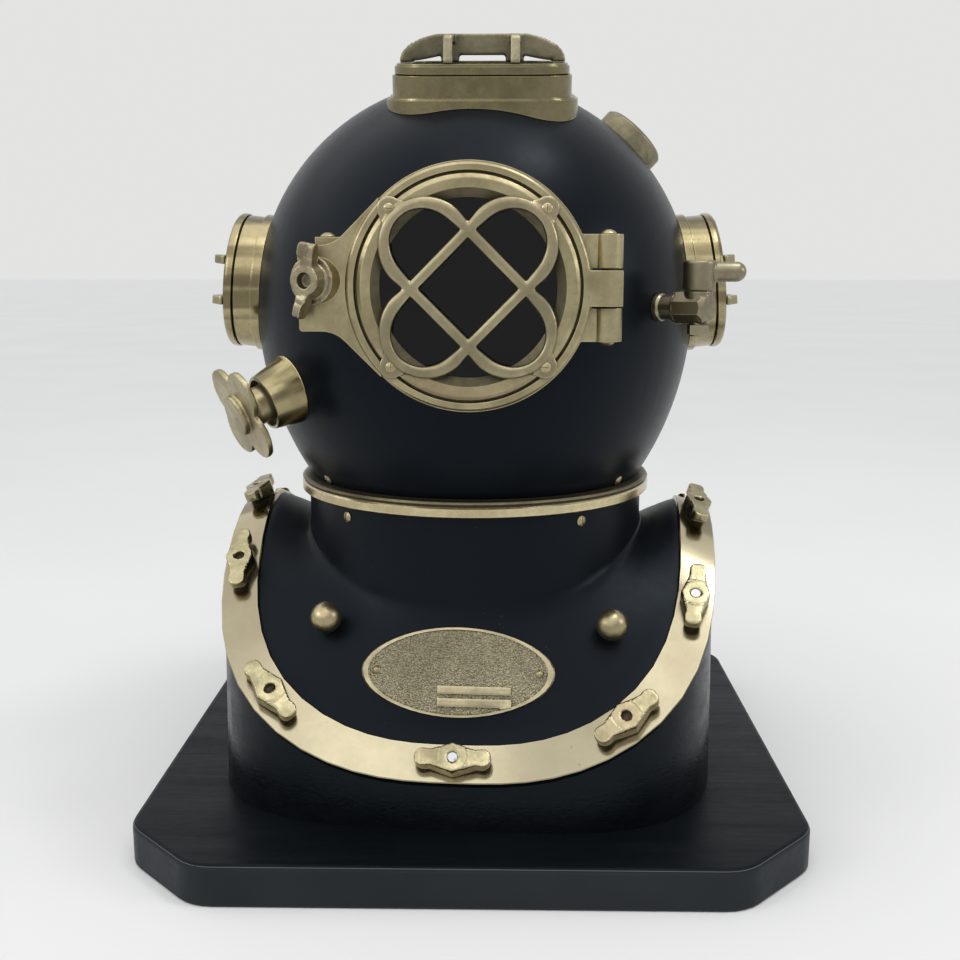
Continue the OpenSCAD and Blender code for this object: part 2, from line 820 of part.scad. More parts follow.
module latch_ears() {
    ear_h = 2 * latch_d;
    ear_l = latch_pin_x + 6.5 - seat_r + ear_reach;
    for (side = [-1, 1])
        translate([-latch_pin_x - 6.5, -seat_y,
                   latch_z + side * 2 * latch_d - ear_h / 2])
            cube([ear_l, seat_y - latch_pin_y + 6, ear_h]);
}

module door_seat_gasket() {
    color(leather) door_place() tube(seat_bore + 1 + gasket_w,
                                     seat_bore + 1, seat_y, seat_y + 0.7);
}

// Headed pin along z, its middle at height z
module upright_pin(x, y, z, half) {
    translate([x, -y, z]) {
        translate([0, 0, -half]) cylinder(r = pin_r, h = 2 * half);
        for (side = [0, 1]) mirror([0, 0, side]) translate([0, 0, half])
            intersection() {
                cylinder(r = pin_r + 1.4, h = 2.4);
                translate([0, 0, -3]) sphere(r = 5.6);
            }
    }
}

module hinge_pin() {
    color(brass) upright_pin(hinge_x, hinge_y, dome_z + door_z,
                             1.5 * knuckle_h + 1.8);
}

module latch_pin() {
    color(brass) upright_pin(-latch_pin_x, latch_pin_y, latch_z,
                             3 * latch_d + 0.2);
}

// Side ports, drawn along +Z from the dome's centre line

module side_place(side) {
    translate([0, 0, dome_z]) rotate([0, (90 - side_lift) * side, 0])
        children();
}

module side_frame(side) {
    color(bright_brass) difference() {
        side_place(side) rotate_extrude() polygon([
            [side_bore, dome_r * 0.8],
            [side_r + 1.8, dome_r * 0.8],
            [side_r + 1.8, side_x - 12.6],
            [side_r + 1.2, side_x - 12],
            [side_r, side_x - 12],
            [side_r, side_x - 0.5],
            [side_r - 0.5, side_x],
            [side_bore, side_x]]);
        dome_body(seat_gap, dome_drop);
    }
}
module side_frame_left() { side_frame(-1); }
module side_frame_right() { side_frame(1); }

module side_glass(side) {
    color(glass_tint) side_place(side) translate([0, 0, side_ring_x])
        cylinder(r = side_r - 5, h = port_glass_t);
}
module side_glass_left() { side_glass(-1); }
module side_glass_right() { side_glass(1); }

module side_ring(side) {
    x = side_ring_x;
    color(bright_brass) side_place(side) rotate_extrude() polygon(rounded([
        [side_r - 5 + 0.2, x],
        [side_r + 1, x],
        [side_r + 1, x + port_ring_h],
        [side_bore, x + port_ring_h],
        [side_bore, x + port_glass_t + 0.2],
        [side_r - 5 + 0.2, x + port_glass_t + 0.2]],
        [0, 0.6, 3.5, 1, 0, 0], 4));
}
module side_ring_left() { side_ring(-1); }
module side_ring_right() { side_ring(1); }

// Port guard, standing on z = 0: a web with slanted shoulders and small
// slots at its foot, and two arched bars across it
module port_guard(half, flat, web_h, slot_h, bar_half, bar_at, bar_h) {
    web_t = 4;
    ease = min(web_h - 2.2, 12);
    rotate([90, 0, 0]) translate([0, 0, -web_t / 2]) difference() {
        linear_extrude(web_t) polygon(rounded(
            [[-half, 0], [half, 0], [half, 2], [flat, web_h],
             [-flat, web_h], [-half, 2]],
            [0, 0, 1, ease, ease, 1], 6));
        if (slot_h > 0)
            for (slot = [[-half + 8, -bar_at - bar_w],
                         [-bar_at + bar_w, bar_at - bar_w],
                         [bar_at + bar_w, half - 8]])
                translate([slot[0], -1, -1])
                    cube([slot[1] - slot[0], 1 + slot_h, web_t + 2]);
    }
    for (side = [-1, 1]) translate([side * bar_at - bar_w / 2, 0, 0])
        rotate([90, 0, 90]) linear_extrude(bar_w) polygon(rounded(
            [[-bar_half, 0], [-bar_half + 6, 0],
             [-bar_half + 8, bar_h - 5.4], [bar_half - 8, bar_h - 5.4],
             [bar_half - 6, 0], [bar_half, 0], [bar_half, 2],
             [bar_half - 6, bar_h], [-bar_half + 6, bar_h],
             [-bar_half, 2]],
            [0, 0, 2, 2, 0, 0, 0.8, 4, 4, 0.8], 4));
}

module side_guard(side) {
    color(brass) side_place(side)
        translate([0, 0, side_ring_x + port_ring_h + 0.2])
            port_guard(side_r - 3, side_r - 6, side_web_h, 0, side_r - 4,
                       13.5, side_bar_h);
}
module side_guard_left() { side_guard(-1); }
module side_guard_right() { side_guard(1); }

// Top port, drawn along +Z from the dome's centre

module top_place() {
    translate([0, 0, dome_z]) rotate([top_lean, 0, 0])
        translate([top_aside, -top_ahead, 0]) children();
}

module top_layer(grow, z0, z1) {
    translate([0, 0, z0]) linear_extrude(z1 - z0)
        rounded_rectangle(top_half_w + grow, top_half_d + grow,
                          top_round + grow);
}

module top_frame() {
    color(brass) difference() {
        top_place() union() {
            top_layer(4, dome_r * 0.8, top_end - 14);
            top_layer(2.4, top_end - 14, top_end - 13);
            top_layer(0, top_end - 13, top_end);
        }
        top_place() top_layer(-top_wall, dome_r * 0.7, top_end + 1);
        dome_body(seat_gap, dome_drop);
    }
}

module top_glass() {
    color(glass_tint) top_place()
        top_layer(-6, top_ring_z, top_ring_z + port_glass_t);
}

module top_ring() {
    color(brass) top_place() difference() {
        union() {
            top_layer(-1.6, top_ring_z, top_ring_z + port_ring_h - 1.4);
            top_layer(-2.8, top_ring_z + port_ring_h - 1.4,
                      top_ring_z + port_ring_h);
        }
        top_layer(-5.8, top_ring_z - 1, top_ring_z + port_glass_t + 0.2);
        top_layer(-top_wall, top_ring_z - 1,
                  top_ring_z + port_ring_h + 1);
    }
}

module top_guard() {
    color(brass) top_place()
        translate([0, 0, top_ring_z + port_ring_h + 0.2])
            port_guard(top_half_w - 3.6, 31, top_guard_h, 4,
                       top_half_d - 3.6, 20.5, top_guard_h);
}

module port_gaskets() {
    color(leather) {
        for (side = [-1, 1]) side_place(side)
            tube(side_r - 5, side_bore + 1, side_x, side_x + 0.5);
        top_place() translate([0, 0, top_end]) linear_extrude(0.5)
            difference() {
                rounded_rectangle(top_half_w - 6, top_half_d - 6,
                                  top_round - 6);
                rounded_rectangle(top_half_w - top_wall + 1,
                                  top_half_d - top_wall + 1,
                                  top_round - top_wall + 1);
            }
    }
}

// Exhaust valve

module exhaust_body() {
    color(bright_brass) difference() {
        radial(-exhaust_turn, -exhaust_drop) rotate_extrude() polygon([
            [wheel_neck - 4, dome_r * 0.8],
            [exhaust_r + 1.5, dome_r * 0.8],
            [exhaust_r + 1.5, dome_r - 1],
            [exhaust_r, dome_r + 1],
            [exhaust_tip_r, exhaust_end - 1],
            [exhaust_tip_r - 0.6, exhaust_end],
            [exhaust_tip_r - 2.2, exhaust_end],
            [exhaust_tip_r - 2.6, exhaust_end - 4],
            [wheel_neck + fit, exhaust_end - 4],
            [wheel_neck + fit, exhaust_end - 12],
            [wheel_neck - 4, exhaust_end - 12]]);
        dome_body(seat_gap, dome_drop);
    }
}

module exhaust_wheel() {
    plate_z = exhaust_end + 13.5;
    plate_h = 3.6;
    hub_r = wheel_neck + 1.3;
    petal_r = wheel_r * 0.456;
    color(brass) radial(-exhaust_turn, -exhaust_drop) {
        translate([0, 0, exhaust_end - 11.5])
            cylinder(r = wheel_neck, h = 19);
        translate([0, 0, exhaust_end + 7])
            cylinder(r1 = wheel_neck, r2 = wheel_neck - 3, h = 7);
        translate([0, 0, plate_z]) linear_extrude(plate_h) {
            for (a = [45:90:315]) rotate(a)
                translate([wheel_r - petal_r, 0]) circle(r = petal_r);
            circle(r = hub_r);
        }
        translate([0, 0, plate_z + plate_h - 0.5])
            cylinder(r = hub_r, h = 3.8);
        translate([0, 0, plate_z + plate_h + 3.3])
            cylinder(r1 = hub_r, r2 = hub_r - 0.8, h = 0.8);
    }
}

// Spitcock

module spitcock_body() {
    color(brass) difference() {
        union() {
            radial(spit_turn, spit_lift) rotate_extrude() polygon([
                [0, dome_r * 0.9],
                [8.6, dome_r * 0.9],
                [8.6, dome_r + 3],
                [7.6, dome_r + 4],
                [7.6, dome_r + 12.6],
                [spit_r + 0.2, dome_r + 13],
                [spit_r + 0.2, dome_r + 15],
                [0, dome_r + 15]]);
            radial(spit_turn, spit_lift) intersection() {
                translate([0, 0, dome_r + 14]) rotate(22.5)
                    cylinder(r = spit_r / cos(22.5), h = 22, $fn = 8);
                translate([0, 0, dome_r + 14])
                    cylinder(r1 = spit_r + 14, r2 = spit_r - 2, h = 22.5);
            }
            spit_axis() cylinder(r = spit_r - 1, h = spit_boss_z - 0.35);
        }
        spit_axis() translate([0, 0, -30])
            cylinder(r = spindle_r + fit, h = 60);
        dome_body(seat_gap, dome_drop);
    }
}

// Places children on the spitcock's upright spindle
module spit_axis() {
    translate([spit_spindle * sin(spit_turn),
               -spit_spindle * cos(spit_turn),
               dome_z + spit_spindle * sin(spit_lift)]) children();
}

module spitcock_lever() {
    boss_h = 18;
    color(brass) spit_axis() {
        translate([0, 0, -spit_r - 7.6])
            cylinder(r = spindle_r, h = spit_boss_z + spit_r + 8);
        translate([0, 0, spit_boss_z])
            cylinder(r1 = spit_r - 0.6, r2 = spit_r + 0.3, h = 1);
        translate([0, 0, spit_boss_z + 1])
            cylinder(r = spit_r + 0.3, h = boss_h - 2);
        translate([0, 0, spit_boss_z + boss_h - 1])
            cylinder(r1 = spit_r + 0.3, r2 = spit_r - 0.7, h = 1);
        translate([0, 0, spit_boss_z + boss_h * 0.62])
            rotate([0, 90, 0]) {
                cylinder(r = 6, h = lever_l - 6);
                translate([0, 0, lever_l - 6]) sphere(r = 6);
            }
    }
}

module spitcock_nut() {
    color(brass) spit_axis() difference() {
        translate([-5.6, -5.6, -spit_r - 6.4]) cube([11.2, 11.2, 5.6]);
        translate([0, 0, -40]) cylinder(r = spindle_r + 0.02, h = 60);
    }
}

module air_boss() {
    color(brass) difference() {
        radial(air_turn, air_rise) rotate_extrude() polygon([
            [air_bore * 0.6, dome_r * 0.8],
            [air_r, dome_r * 0.8],
            [air_r, air_top - 2],
            [air_r - 2, air_top],
            [air_bore, air_top],
            [air_bore, air_top - air_depth],
            [air_bore * 0.6, air_top - air_depth]]);
        dome_body(seat_gap, dome_drop);
    }
}

// Door

module door_frame() {
    color(brass) difference() {
        union() {
            door_place() rotate_extrude() polygon([
                [retainer_bore + 0.5, door_face],
                [door_r - 1, door_face],
                [door_r, door_face + 1],
                [door_r, door_front - 1.4],
                [door_r - 1.4, door_front],
                [guard_screw_r + 3, door_front],
                [guard_screw_r + 2.2, door_front - 2],
                [guard_screw_r + 1.6, door_front - 2],
                [guard_screw_r + 1.6, door_face + 2.6],
                [retainer_bore + 0.5, door_face + 2.6]]);
            difference() {
                union() {
                    knuckle(0, knuckle_h + 1, 1);
                    latch_plate();
                }
                door_place() cylinder(r = door_r - 3, h = dome_r * 2);
            }
        }
        translate([hinge_x, -hinge_y, dome_z + door_z - 60])
            cylinder(r = pin_r + fit, h = 120);
        latch_place() {
            cylinder(r = latch_d / 2 + fit, h = 60);
            translate([0, 0, latch_seat]) cylinder(r = 14, h = 40);
        }
        at_guard_screws() translate([0, 0, -11.6])
            cylinder(r = small_screw_r + 0.1, h = 20);
    }
}

// Turns +Z along the latch screw, from the latch pin outwards
module latch_place() {
    translate([-latch_pin_x, -latch_pin_y, latch_z])
        rotate([0, 0, -latch_lean]) rotate([90, 0, 0]) children();
}

module latch_plate() {
    half = latch_h / 2;
    door_place() translate([0, 0, door_face])
        linear_extrude(door_t - 1.6) polygon(rounded([
            [-latch_x, -half], [-latch_x + 20, -half],
            [-door_r * 0.72, -door_r * 0.72], [-40, 0],
            [-door_r * 0.72, door_r * 0.72], [-latch_x + 20, half],
            [-latch_x, half]], [2, 18, 0, 0, 0, 18, 2]));
    latch_place() translate([0, 0, 9.4])
        cylinder(r = 13, h = latch_seat - 9.4);
}

module door_glass() {
    color(glass_tint) door_place() translate([0, 0, door_face + 3.2])
        cylinder(r = glass_r, h = glass_t);
}

module door_gasket() {
    color(leather) door_place() tube(glass_r, retainer_bore + 1.5,
                                     door_face + 2.6, door_face + 3.1);
}

module glass_retainer() {
    edge = guard_screw_r + 1.4;
    color(brass) difference() {
        door_place() rotate_extrude() polygon(rounded([
            [retainer_bore, retainer_back],
            [edge, retainer_back],
            [edge, door_front],
            [edge - 2.6, door_front + 1.8],
            [retainer_bore + 5.4, door_front + 1.8],
            [retainer_bore, retainer_back + 0.6]],
            [0, 0, 1, 2, 1, 0], 3));
        at_guard_screws() translate([0, 0, -10])
            cylinder(r = small_screw_r + 0.2, h = 20);
    }
}

module at_guard_screws() {
    door_place() for (a = [45:90:315]) rotate(a)
        translate([guard_screw_r, 0, guard_z + tab_t]) children();
}

// Cross-section of a guard bar, flat at the back and round in front
module bar_section() {
    corner = bar_w * 0.36;
    translate([-bar_w / 2, 0]) square([bar_w, bar_t - corner]);
    translate([-bar_w / 2 + corner, 0]) square([bar_w - 2 * corner, bar_t]);
    for (side = [-1, 1])
        translate([side * (bar_w / 2 - corner), bar_t - corner])
            circle(r = corner);
}

// One long loop of the guard, its two sides and two round ends
module guard_loop() {
    for (side = [-1, 1]) {
        translate([-loop_reach, side * loop_half, 0])
            rotate([90, 0, 90]) linear_extrude(2 * loop_reach)
                bar_section();
        rotate([0, 0, side * 90]) translate([0, -loop_reach, 0])
            rotate([0, 0, 180]) rotate_extrude(angle = 180)
                translate([loop_half, 0]) bar_section();
    }
}

module door_guard() {
    tip = loop_reach + loop_half;
    color(brass) difference() {
        door_place() translate([0, 0, guard_z]) {
            for (a = [45, 135]) rotate(a) guard_loop();
            for (a = [45:90:315]) rotate(a) {
                linear_extrude(tab_t) difference() {
                    union() {
                        polygon([[tip - 2, -8.5], [tip + 2.4, -8.5],
                                 [guard_screw_r + 1, -6.6],
                                 [guard_screw_r + 1, 6.6],
                                 [tip + 2.4, 8.5], [tip - 2, 8.5]]);
                        translate([guard_screw_r, 0]) circle(r = 6.8);
                    }
                    translate([loop_reach, 0]) circle(r = loop_half);
                }
            }
        }
        at_guard_screws() translate([0, 0, -10])
            cylinder(r = small_screw_r + 0.2, h = 20);
    }
}

module guard_screws() {
    color(brass) at_guard_screws() translate([0, 0, seat_gap])
        slotted_screw(2.9, 1.5, small_screw_r, 11.4, 40);
}

module latch_screw() {
    hub_r = 8.5;
    hub_h = 8;
    seat = latch_seat + 0.3;
    color(brass) latch_place() {
        difference() {
            union() {
                translate([0, 0, pin_r + 0.7])
                    cylinder(r = latch_d / 2, h = seat - 2);
                translate([0, 0, seat]) cylinder(r = 13.6, h = 2.4);
                translate([0, 0, seat + 2.4])
                    cylinder(r1 = hub_r + 1.5, r2 = hub_r, h = hub_h);
                for (side = [0, 1]) rotate(78 + 180 * side)
                    latch_wing(seat + 3);
            }
            translate([0, 0, seat + 5]) cylinder(r = 4.3, h = 20);
        }
    }
}

// One wing of the latch screw, standing out along +X
module latch_wing(z) {
    translate([0, 3.8, z]) rotate([90, 0, 0]) linear_extrude(7.6)
        polygon(rounded([[7, 0.5], [13, 1], [20.8, 4.5], [20.8, 13],
                         [14, 13], [7, 6]], [0, 3, 3.4, 3, 3, 0], 4));
}

base_board();
plinth();
stand_screws();
breastplate_shell();
neck_ring();
neck_ring_screws();
neck_washer();
rim_strap();
rim_studs();
ball_studs();
nameplate();
nameplate_rivets();
wing_nut(1);  // wing_nut_01
wing_nut(2);  // wing_nut_02
wing_nut(3);  // wing_nut_03
wing_nut(4);  // wing_nut_04
wing_nut(5);  // wing_nut_05
wing_nut(6);  // wing_nut_06
wing_nut(7);  // wing_nut_07
wing_nut(8);  // wing_nut_08
wing_nut(9);  // wing_nut_09
wing_nut(10);  // wing_nut_10
wing_nut(11);  // wing_nut_11
wing_nut(12);  // wing_nut_12
bonnet_dome();
bonnet_ring();
bonnet_ring_screws();
door_seat();
door_seat_gasket();
hinge_pin();
latch_pin();
side_frame_left();
side_frame_right();
side_glass_left();
side_glass_right();
side_ring_left();
side_ring_right();
side_guard_left();
side_guard_right();
top_frame();
top_glass();
top_ring();
top_guard();
port_gaskets();
exhaust_body();
exhaust_wheel();
spitcock_body();
spitcock_lever();
spitcock_nut();
air_boss();
door_frame();
door_glass();
door_gasket();
glass_retainer();
door_guard();
guard_screws();
latch_screw();
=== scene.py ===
import json
import math

import bpy
from mathutils import Matrix, Vector


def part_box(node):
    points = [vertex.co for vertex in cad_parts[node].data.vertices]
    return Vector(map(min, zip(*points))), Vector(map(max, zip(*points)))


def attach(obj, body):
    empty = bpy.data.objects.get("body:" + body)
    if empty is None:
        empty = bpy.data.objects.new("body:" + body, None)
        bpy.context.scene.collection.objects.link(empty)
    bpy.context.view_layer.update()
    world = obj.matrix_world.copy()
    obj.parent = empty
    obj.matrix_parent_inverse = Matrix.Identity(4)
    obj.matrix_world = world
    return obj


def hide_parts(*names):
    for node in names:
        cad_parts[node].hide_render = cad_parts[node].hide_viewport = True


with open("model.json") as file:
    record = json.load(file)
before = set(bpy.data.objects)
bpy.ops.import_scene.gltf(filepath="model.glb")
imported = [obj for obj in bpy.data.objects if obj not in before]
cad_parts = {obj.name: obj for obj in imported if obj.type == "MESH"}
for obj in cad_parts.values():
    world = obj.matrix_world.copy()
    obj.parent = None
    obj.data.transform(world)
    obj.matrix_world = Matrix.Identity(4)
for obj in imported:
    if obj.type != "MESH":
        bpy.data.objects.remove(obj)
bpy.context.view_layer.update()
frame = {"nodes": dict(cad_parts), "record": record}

MM = 0.001
NODES = frame["nodes"]
RECORD = frame["record"]
JOINT_OF = {joint["child"]: joint
            for joint in RECORD["behaviour"]["joints"]}
BODY_OF = {node: body
           for body, nodes in RECORD["behaviour"]["bodies"].items()
           for node in nodes}
NUTS = [f"wing_nut_{n:02d}" for n in range(1, 13)]


# Shader maths

class Wire:
    """A shader socket. Python's operators on it add Math nodes."""

    def __init__(self, finish, socket):
        self.finish = finish
        self.socket = socket

    def math(self, operation, *values):
        return self.finish.add("ShaderNodeMath", {"operation": operation},
                               dict(enumerate(values)))

    def __add__(self, other):
        return self.math("ADD", self, other)

    def __radd__(self, other):
        return self.math("ADD", other, self)

    def __sub__(self, other):
        return self.math("SUBTRACT", self, other)

    def __rsub__(self, other):
        return self.math("SUBTRACT", other, self)

    def __mul__(self, other):
        return self.math("MULTIPLY", self, other)

    def __abs__(self):
        return self.math("ABSOLUTE", self)

    def over(self, low, high):
        """0 below low, 1 above high, and a smooth step between them."""
        return self.finish.add(
            "ShaderNodeMapRange", {"interpolation_type": "SMOOTHSTEP"},
            {"Value": self, "From Min": low, "From Max": high})


class Finish:
    """One material: add() puts in a node, and seal() feeds the shader."""

    def __init__(self, name):
        self.material = bpy.data.materials.new(name)
        self.material.use_nodes = True
        self.tree = self.material.node_tree
        self.shader = next(n for n in self.tree.nodes
                           if n.type == "BSDF_PRINCIPLED")
        self.place = self.add("ShaderNodeTexCoord", out="Object")

    def socket_of(self, sockets, key):
        """The socket with this number, identifier or name."""
        if isinstance(key, int):
            return sockets[key]
        named = [s for s in sockets if key in (s.identifier, s.name)]
        return next((s for s in named if s.enabled), named[0])

    def feed(self, socket, value):
        """Links a wire to the socket, or sets a plain value on it."""
        if isinstance(value, Wire):
            self.tree.links.new(value.socket, socket)
        elif (hasattr(socket.default_value, "__len__")
              and len(socket.default_value) == 4 and len(value) == 3):
            socket.default_value = (*value, 1.0)
        else:
            socket.default_value = value

    def add(self, kind, settings=None, values=None, out=0):
        """A new node with its inputs fed, as a wire from one output."""
        node = self.tree.nodes.new(kind)
        for name, value in (settings or {}).items():
            setattr(node, name, value)
        for key, value in (values or {}).items():
            self.feed(self.socket_of(node.inputs, key), value)
        return Wire(self, self.socket_of(node.outputs, out))

    def spread(self, stretch=(1, 1, 1), turn=(0, 0, 0), shift=(0, 0, 0),
               drawn=None):
        """Object coordinates, stretched and turned for one pattern.

        drawn is a direction along which the pattern is pulled long.
        """
        place = self.place
        if drawn:
            far = self.add("ShaderNodeVectorMath",
                           {"operation": "DOT_PRODUCT"},
                           {0: place, 1: drawn}, "Value")
            back = self.add("ShaderNodeVectorMath", {"operation": "SCALE"},
                            {0: drawn, "Scale": far * DRAWN_SHARE})
            place = self.add("ShaderNodeVectorMath",
                             {"operation": "SUBTRACT"}, {0: place, 1: back})
        return self.add("ShaderNodeMapping", {}, {
            "Vector": place, "Scale": stretch,
            "Rotation": [math.radians(a) for a in turn],
            "Location": shift})

    def clouds(self, size, detail=4, rough=0.55, **spread):
        """Soft noise whose patches are about size metres across."""
        return self.add("ShaderNodeTexNoise", {}, {
            "Vector": self.spread(**spread), "Scale": 1 / size,
            "Detail": detail, "Roughness": rough}, "Fac")

    def cells(self, size, out="Distance", **spread):
        """Grains about size metres across; Distance is 0 at each middle."""
        return self.add("ShaderNodeTexVoronoi", {}, {
            "Vector": self.spread(**spread), "Scale": 1 / size}, out)

    def blend(self, share, a, b):
        return self.add(
            "ShaderNodeMix", {"data_type": "RGBA"},
            {"Factor_Float": share, "A_Color": a, "B_Color": b},
            "Result_Color")

    def bump(self, height, depth, strength=1.0, under=None):
        """A surface raised by height, on top of the bumps in under."""
        values = {"Height": height, "Distance": depth, "Strength": strength}
        if under:
            values["Normal"] = under
        return self.add("ShaderNodeBump", {}, values)

    def edges(self, width):
        """1 on an edge, falling to 0 on the flat beside it."""
        soft = self.add("ShaderNodeBevel", {"samples": 4}, {"Radius": width})
        straight = self.add("ShaderNodeNewGeometry", out="Normal")
        along = self.add("ShaderNodeVectorMath", {"operation": "DOT_PRODUCT"},
                         {0: soft, 1: straight}, "Value")
        return (1 - along).over(0.01, 0.16)

    def corners(self, reach):
        """1 in a corner that ambient occlusion finds, 0 in the open; the
        finishes paint shade there.
        """
        shade = self.add("ShaderNodeAmbientOcclusion", {"samples": 6},
                         {"Distance": reach}, "AO")
        return (1 - shade).over(0.25, 0.85)

    def seal(self, **sockets):
        """Feeds the shader's own sockets and gives the material."""
        for name, value in sockets.items():
            self.feed(self.shader.inputs[name.replace("_", " ")], value)
        return self.material


# Kinds of finish. Sizes and depths are in metres.

DRAWN_SHARE = 0.95
# Painted shade: the near-black colour that corners are darkened to
CORNER_SHADE = (0.03, 0.025, 0.013)
STAIN = (0.07, 0.055, 0.03)
BLUSH = (0.9, 0.71, 0.8)
PALE_DUST = (0.42, 0.43, 0.42)
GLASS_DUST = (0.5, 0.5, 0.48)
RUST = (0.12, 0.06, 0.03)
COLD_SHEEN = (0.72, 0.86, 1.0)

# Brass
MOTTLE, SMEAR, SPOT_GAP = 0.0045, 0.012, 0.013
COPPER_PATCH, POLISH_BAND = 0.07, 0.011
BRASS_CORNER = 0.006
SCRATCHES = ((0.0016, (1, 1, 0.04), (65, 12, 30)),
             (0.0014, (0.05, 1, 1), (0, 40, 70)))
SCRATCH_DEPTH = 0.0001
CAST_SKIN, CAST_DEPTH = (0.0022, 0.007), 0.0006

# The nameplate's ground
PEBBLE, PEBBLE_SKIN, PEBBLE_DEPTH = 0.0013, 0.0016, 0.0007
PLATE_WEAR, PLATE_CORNER = 0.02, 0.003

# Paint
PAINT_CLOUD, PAINT_MIST = 0.09, 0.006
PAINT_SKIN, PAINT_DEPTH = (0.0035, 0.02), 0.0002
BRUSH_MARKS, BRUSH_DEPTH = (0.004, 0.02), 0.0005
DUST_GAP, DUST_PATCH = 0.0075, 0.05
RUBBED_EDGE, RUBBED_PATCH = 0.0022, 0.02

# Glass, leather and steel
GLASS_SMEAR, GLASS_SPECK = 0.025, 0.006
GLASS_IOR = 1.33
LEATHER_GRAIN, LEATHER_DEPTH, LEATHER_WEAR = 0.0016, 0.0003, 0.012
ZINC_SPANGLE, ZINC_DEPTH, RUST_PATCH = 0.004, 0.0001, 0.006


def times(colour, amount):
    return [c * amount for c in colour]


def brass(name, bright, dull, polish, shade_share=0.7, cast=0.0, patches=0.03,
          seed=0.0, blush=0.25, grain=None, warm=None, marks=1.0,
          rub_and_highlight=0.0011):
    """Old brass: bright where it is rubbed, dull and olive elsewhere.

    grain spreads the polishing bands of a turned piece, warm is the
    middle and reach of a patch with a copper tinge, marks the strength
    of the small stains and scratches, and rub_and_highlight the width of
    the lightened edges, which are worn brass and a painted highlight.
    """
    f = Finish(name)
    at = {"shift": (seed, seed * 0.7, -seed)}
    tarnish = f.clouds(patches, 5, 0.62, **at).over(0.36, 0.68)
    mottle = f.clouds(MOTTLE, 4, 0.7, **at).over(0.42, 0.66)
    smears = f.clouds(SMEAR, 3, 0.6, stretch=(1, 1, 0.22),
                      turn=(20, 35, 0), **at).over(0.45, 0.7)
    worn = f.edges(rub_and_highlight)
    # Corners found by ambient occlusion: painted shade in the colour, dirt in
    # roughness and metal
    dirt_and_shade = f.corners(BRASS_CORNER)
    spots = f.cells(SPOT_GAP, **at)
    spots = (1 - spots.over(0.02, 0.11)) * mottle
    colour = f.blend(tarnish * 0.7, bright, dull)
    colour = f.blend(mottle * 0.22 * marks, colour, times(dull, 0.7))
    colour = f.blend(smears * 0.25 * marks, colour, bright)
    copper = f.clouds(COPPER_PATCH, 3, 0.5, **at).over(0.45, 0.72)
    pink = [c * share for c, share in zip(bright, BLUSH)]
    colour = f.blend(copper * blush, colour, pink)
    if warm:
        middle, reach = warm
        near = f.add("ShaderNodeVectorMath", {"operation": "DISTANCE"},
                     {0: f.place, 1: middle}, "Value")
        colour = f.blend((1 - near.over(reach * 0.55, reach)) * 0.75,
                         colour, pink)
    if grain:
        turned = f.clouds(POLISH_BAND, 3, 0.45, **grain, **at)
        colour = f.blend(turned.over(0.44, 0.62) * 0.8, colour,
                         times(dull, 0.52))
    # Lightened edges: worn brass, and a painted highlight as well
    colour = f.blend(worn * 0.75, colour,
                     [min(c, 1) for c in times(bright, 1.45)])
    # Painted shade: the corners are darkened nearly to black
    colour = f.blend(dirt_and_shade * shade_share, colour, CORNER_SHADE)
    colour = f.blend(spots * 0.35, colour, STAIN)
    rough = (polish + tarnish * (0.04 + 0.08 * marks) + mottle * 0.05 * marks
             + dirt_and_shade * 0.25 - worn * 0.08 + spots * 0.12)
    lengthwise, crosswise = (
        f.clouds(size, 2, 0.5, stretch=stretch, turn=turn, **at)
        for size, stretch, turn in SCRATCHES)
    normal = f.bump(lengthwise + crosswise, SCRATCH_DEPTH, 0.3 * marks)
    if cast:
        fine, coarse = CAST_SKIN
        skin = f.clouds(fine, 3, 0.6, **at) + f.clouds(coarse, 2, 0.5, **at)
        normal = f.bump(skin, CAST_DEPTH * cast, 0.5, normal)
    return f.seal(Base_Color=colour, Metallic=1.0 - dirt_and_shade * 0.5 - spots * 0.3,
                  Roughness=rough, Normal=normal)


def pebbled_brass(name, bright, dull):
    """Cast brass with a pebbled ground, dark between the pebbles."""
    f = Finish(name)
    pebble = f.cells(PEBBLE)
    hollow = pebble.over(0.3, 0.8)
    worn = f.clouds(PLATE_WEAR, 4, 0.6).over(0.38, 0.7)
    dirt_and_shade = f.corners(PLATE_CORNER)
    colour = f.blend(hollow * 0.42, bright, dull)
    colour = f.blend(worn * 0.3, colour, dull)
    # Painted shade: the corners are darkened nearly to black
    colour = f.blend(dirt_and_shade * 0.8, colour, CORNER_SHADE)
    fine = f.clouds(PEBBLE_SKIN, 3, 0.6)
    normal = f.bump(fine - pebble * 2, PEBBLE_DEPTH, 0.8)
    return f.seal(Base_Color=colour, Metallic=1.0 - hollow * 0.35,
                  Roughness=0.3 + hollow * 0.25 + worn * 0.08,
                  Normal=normal)


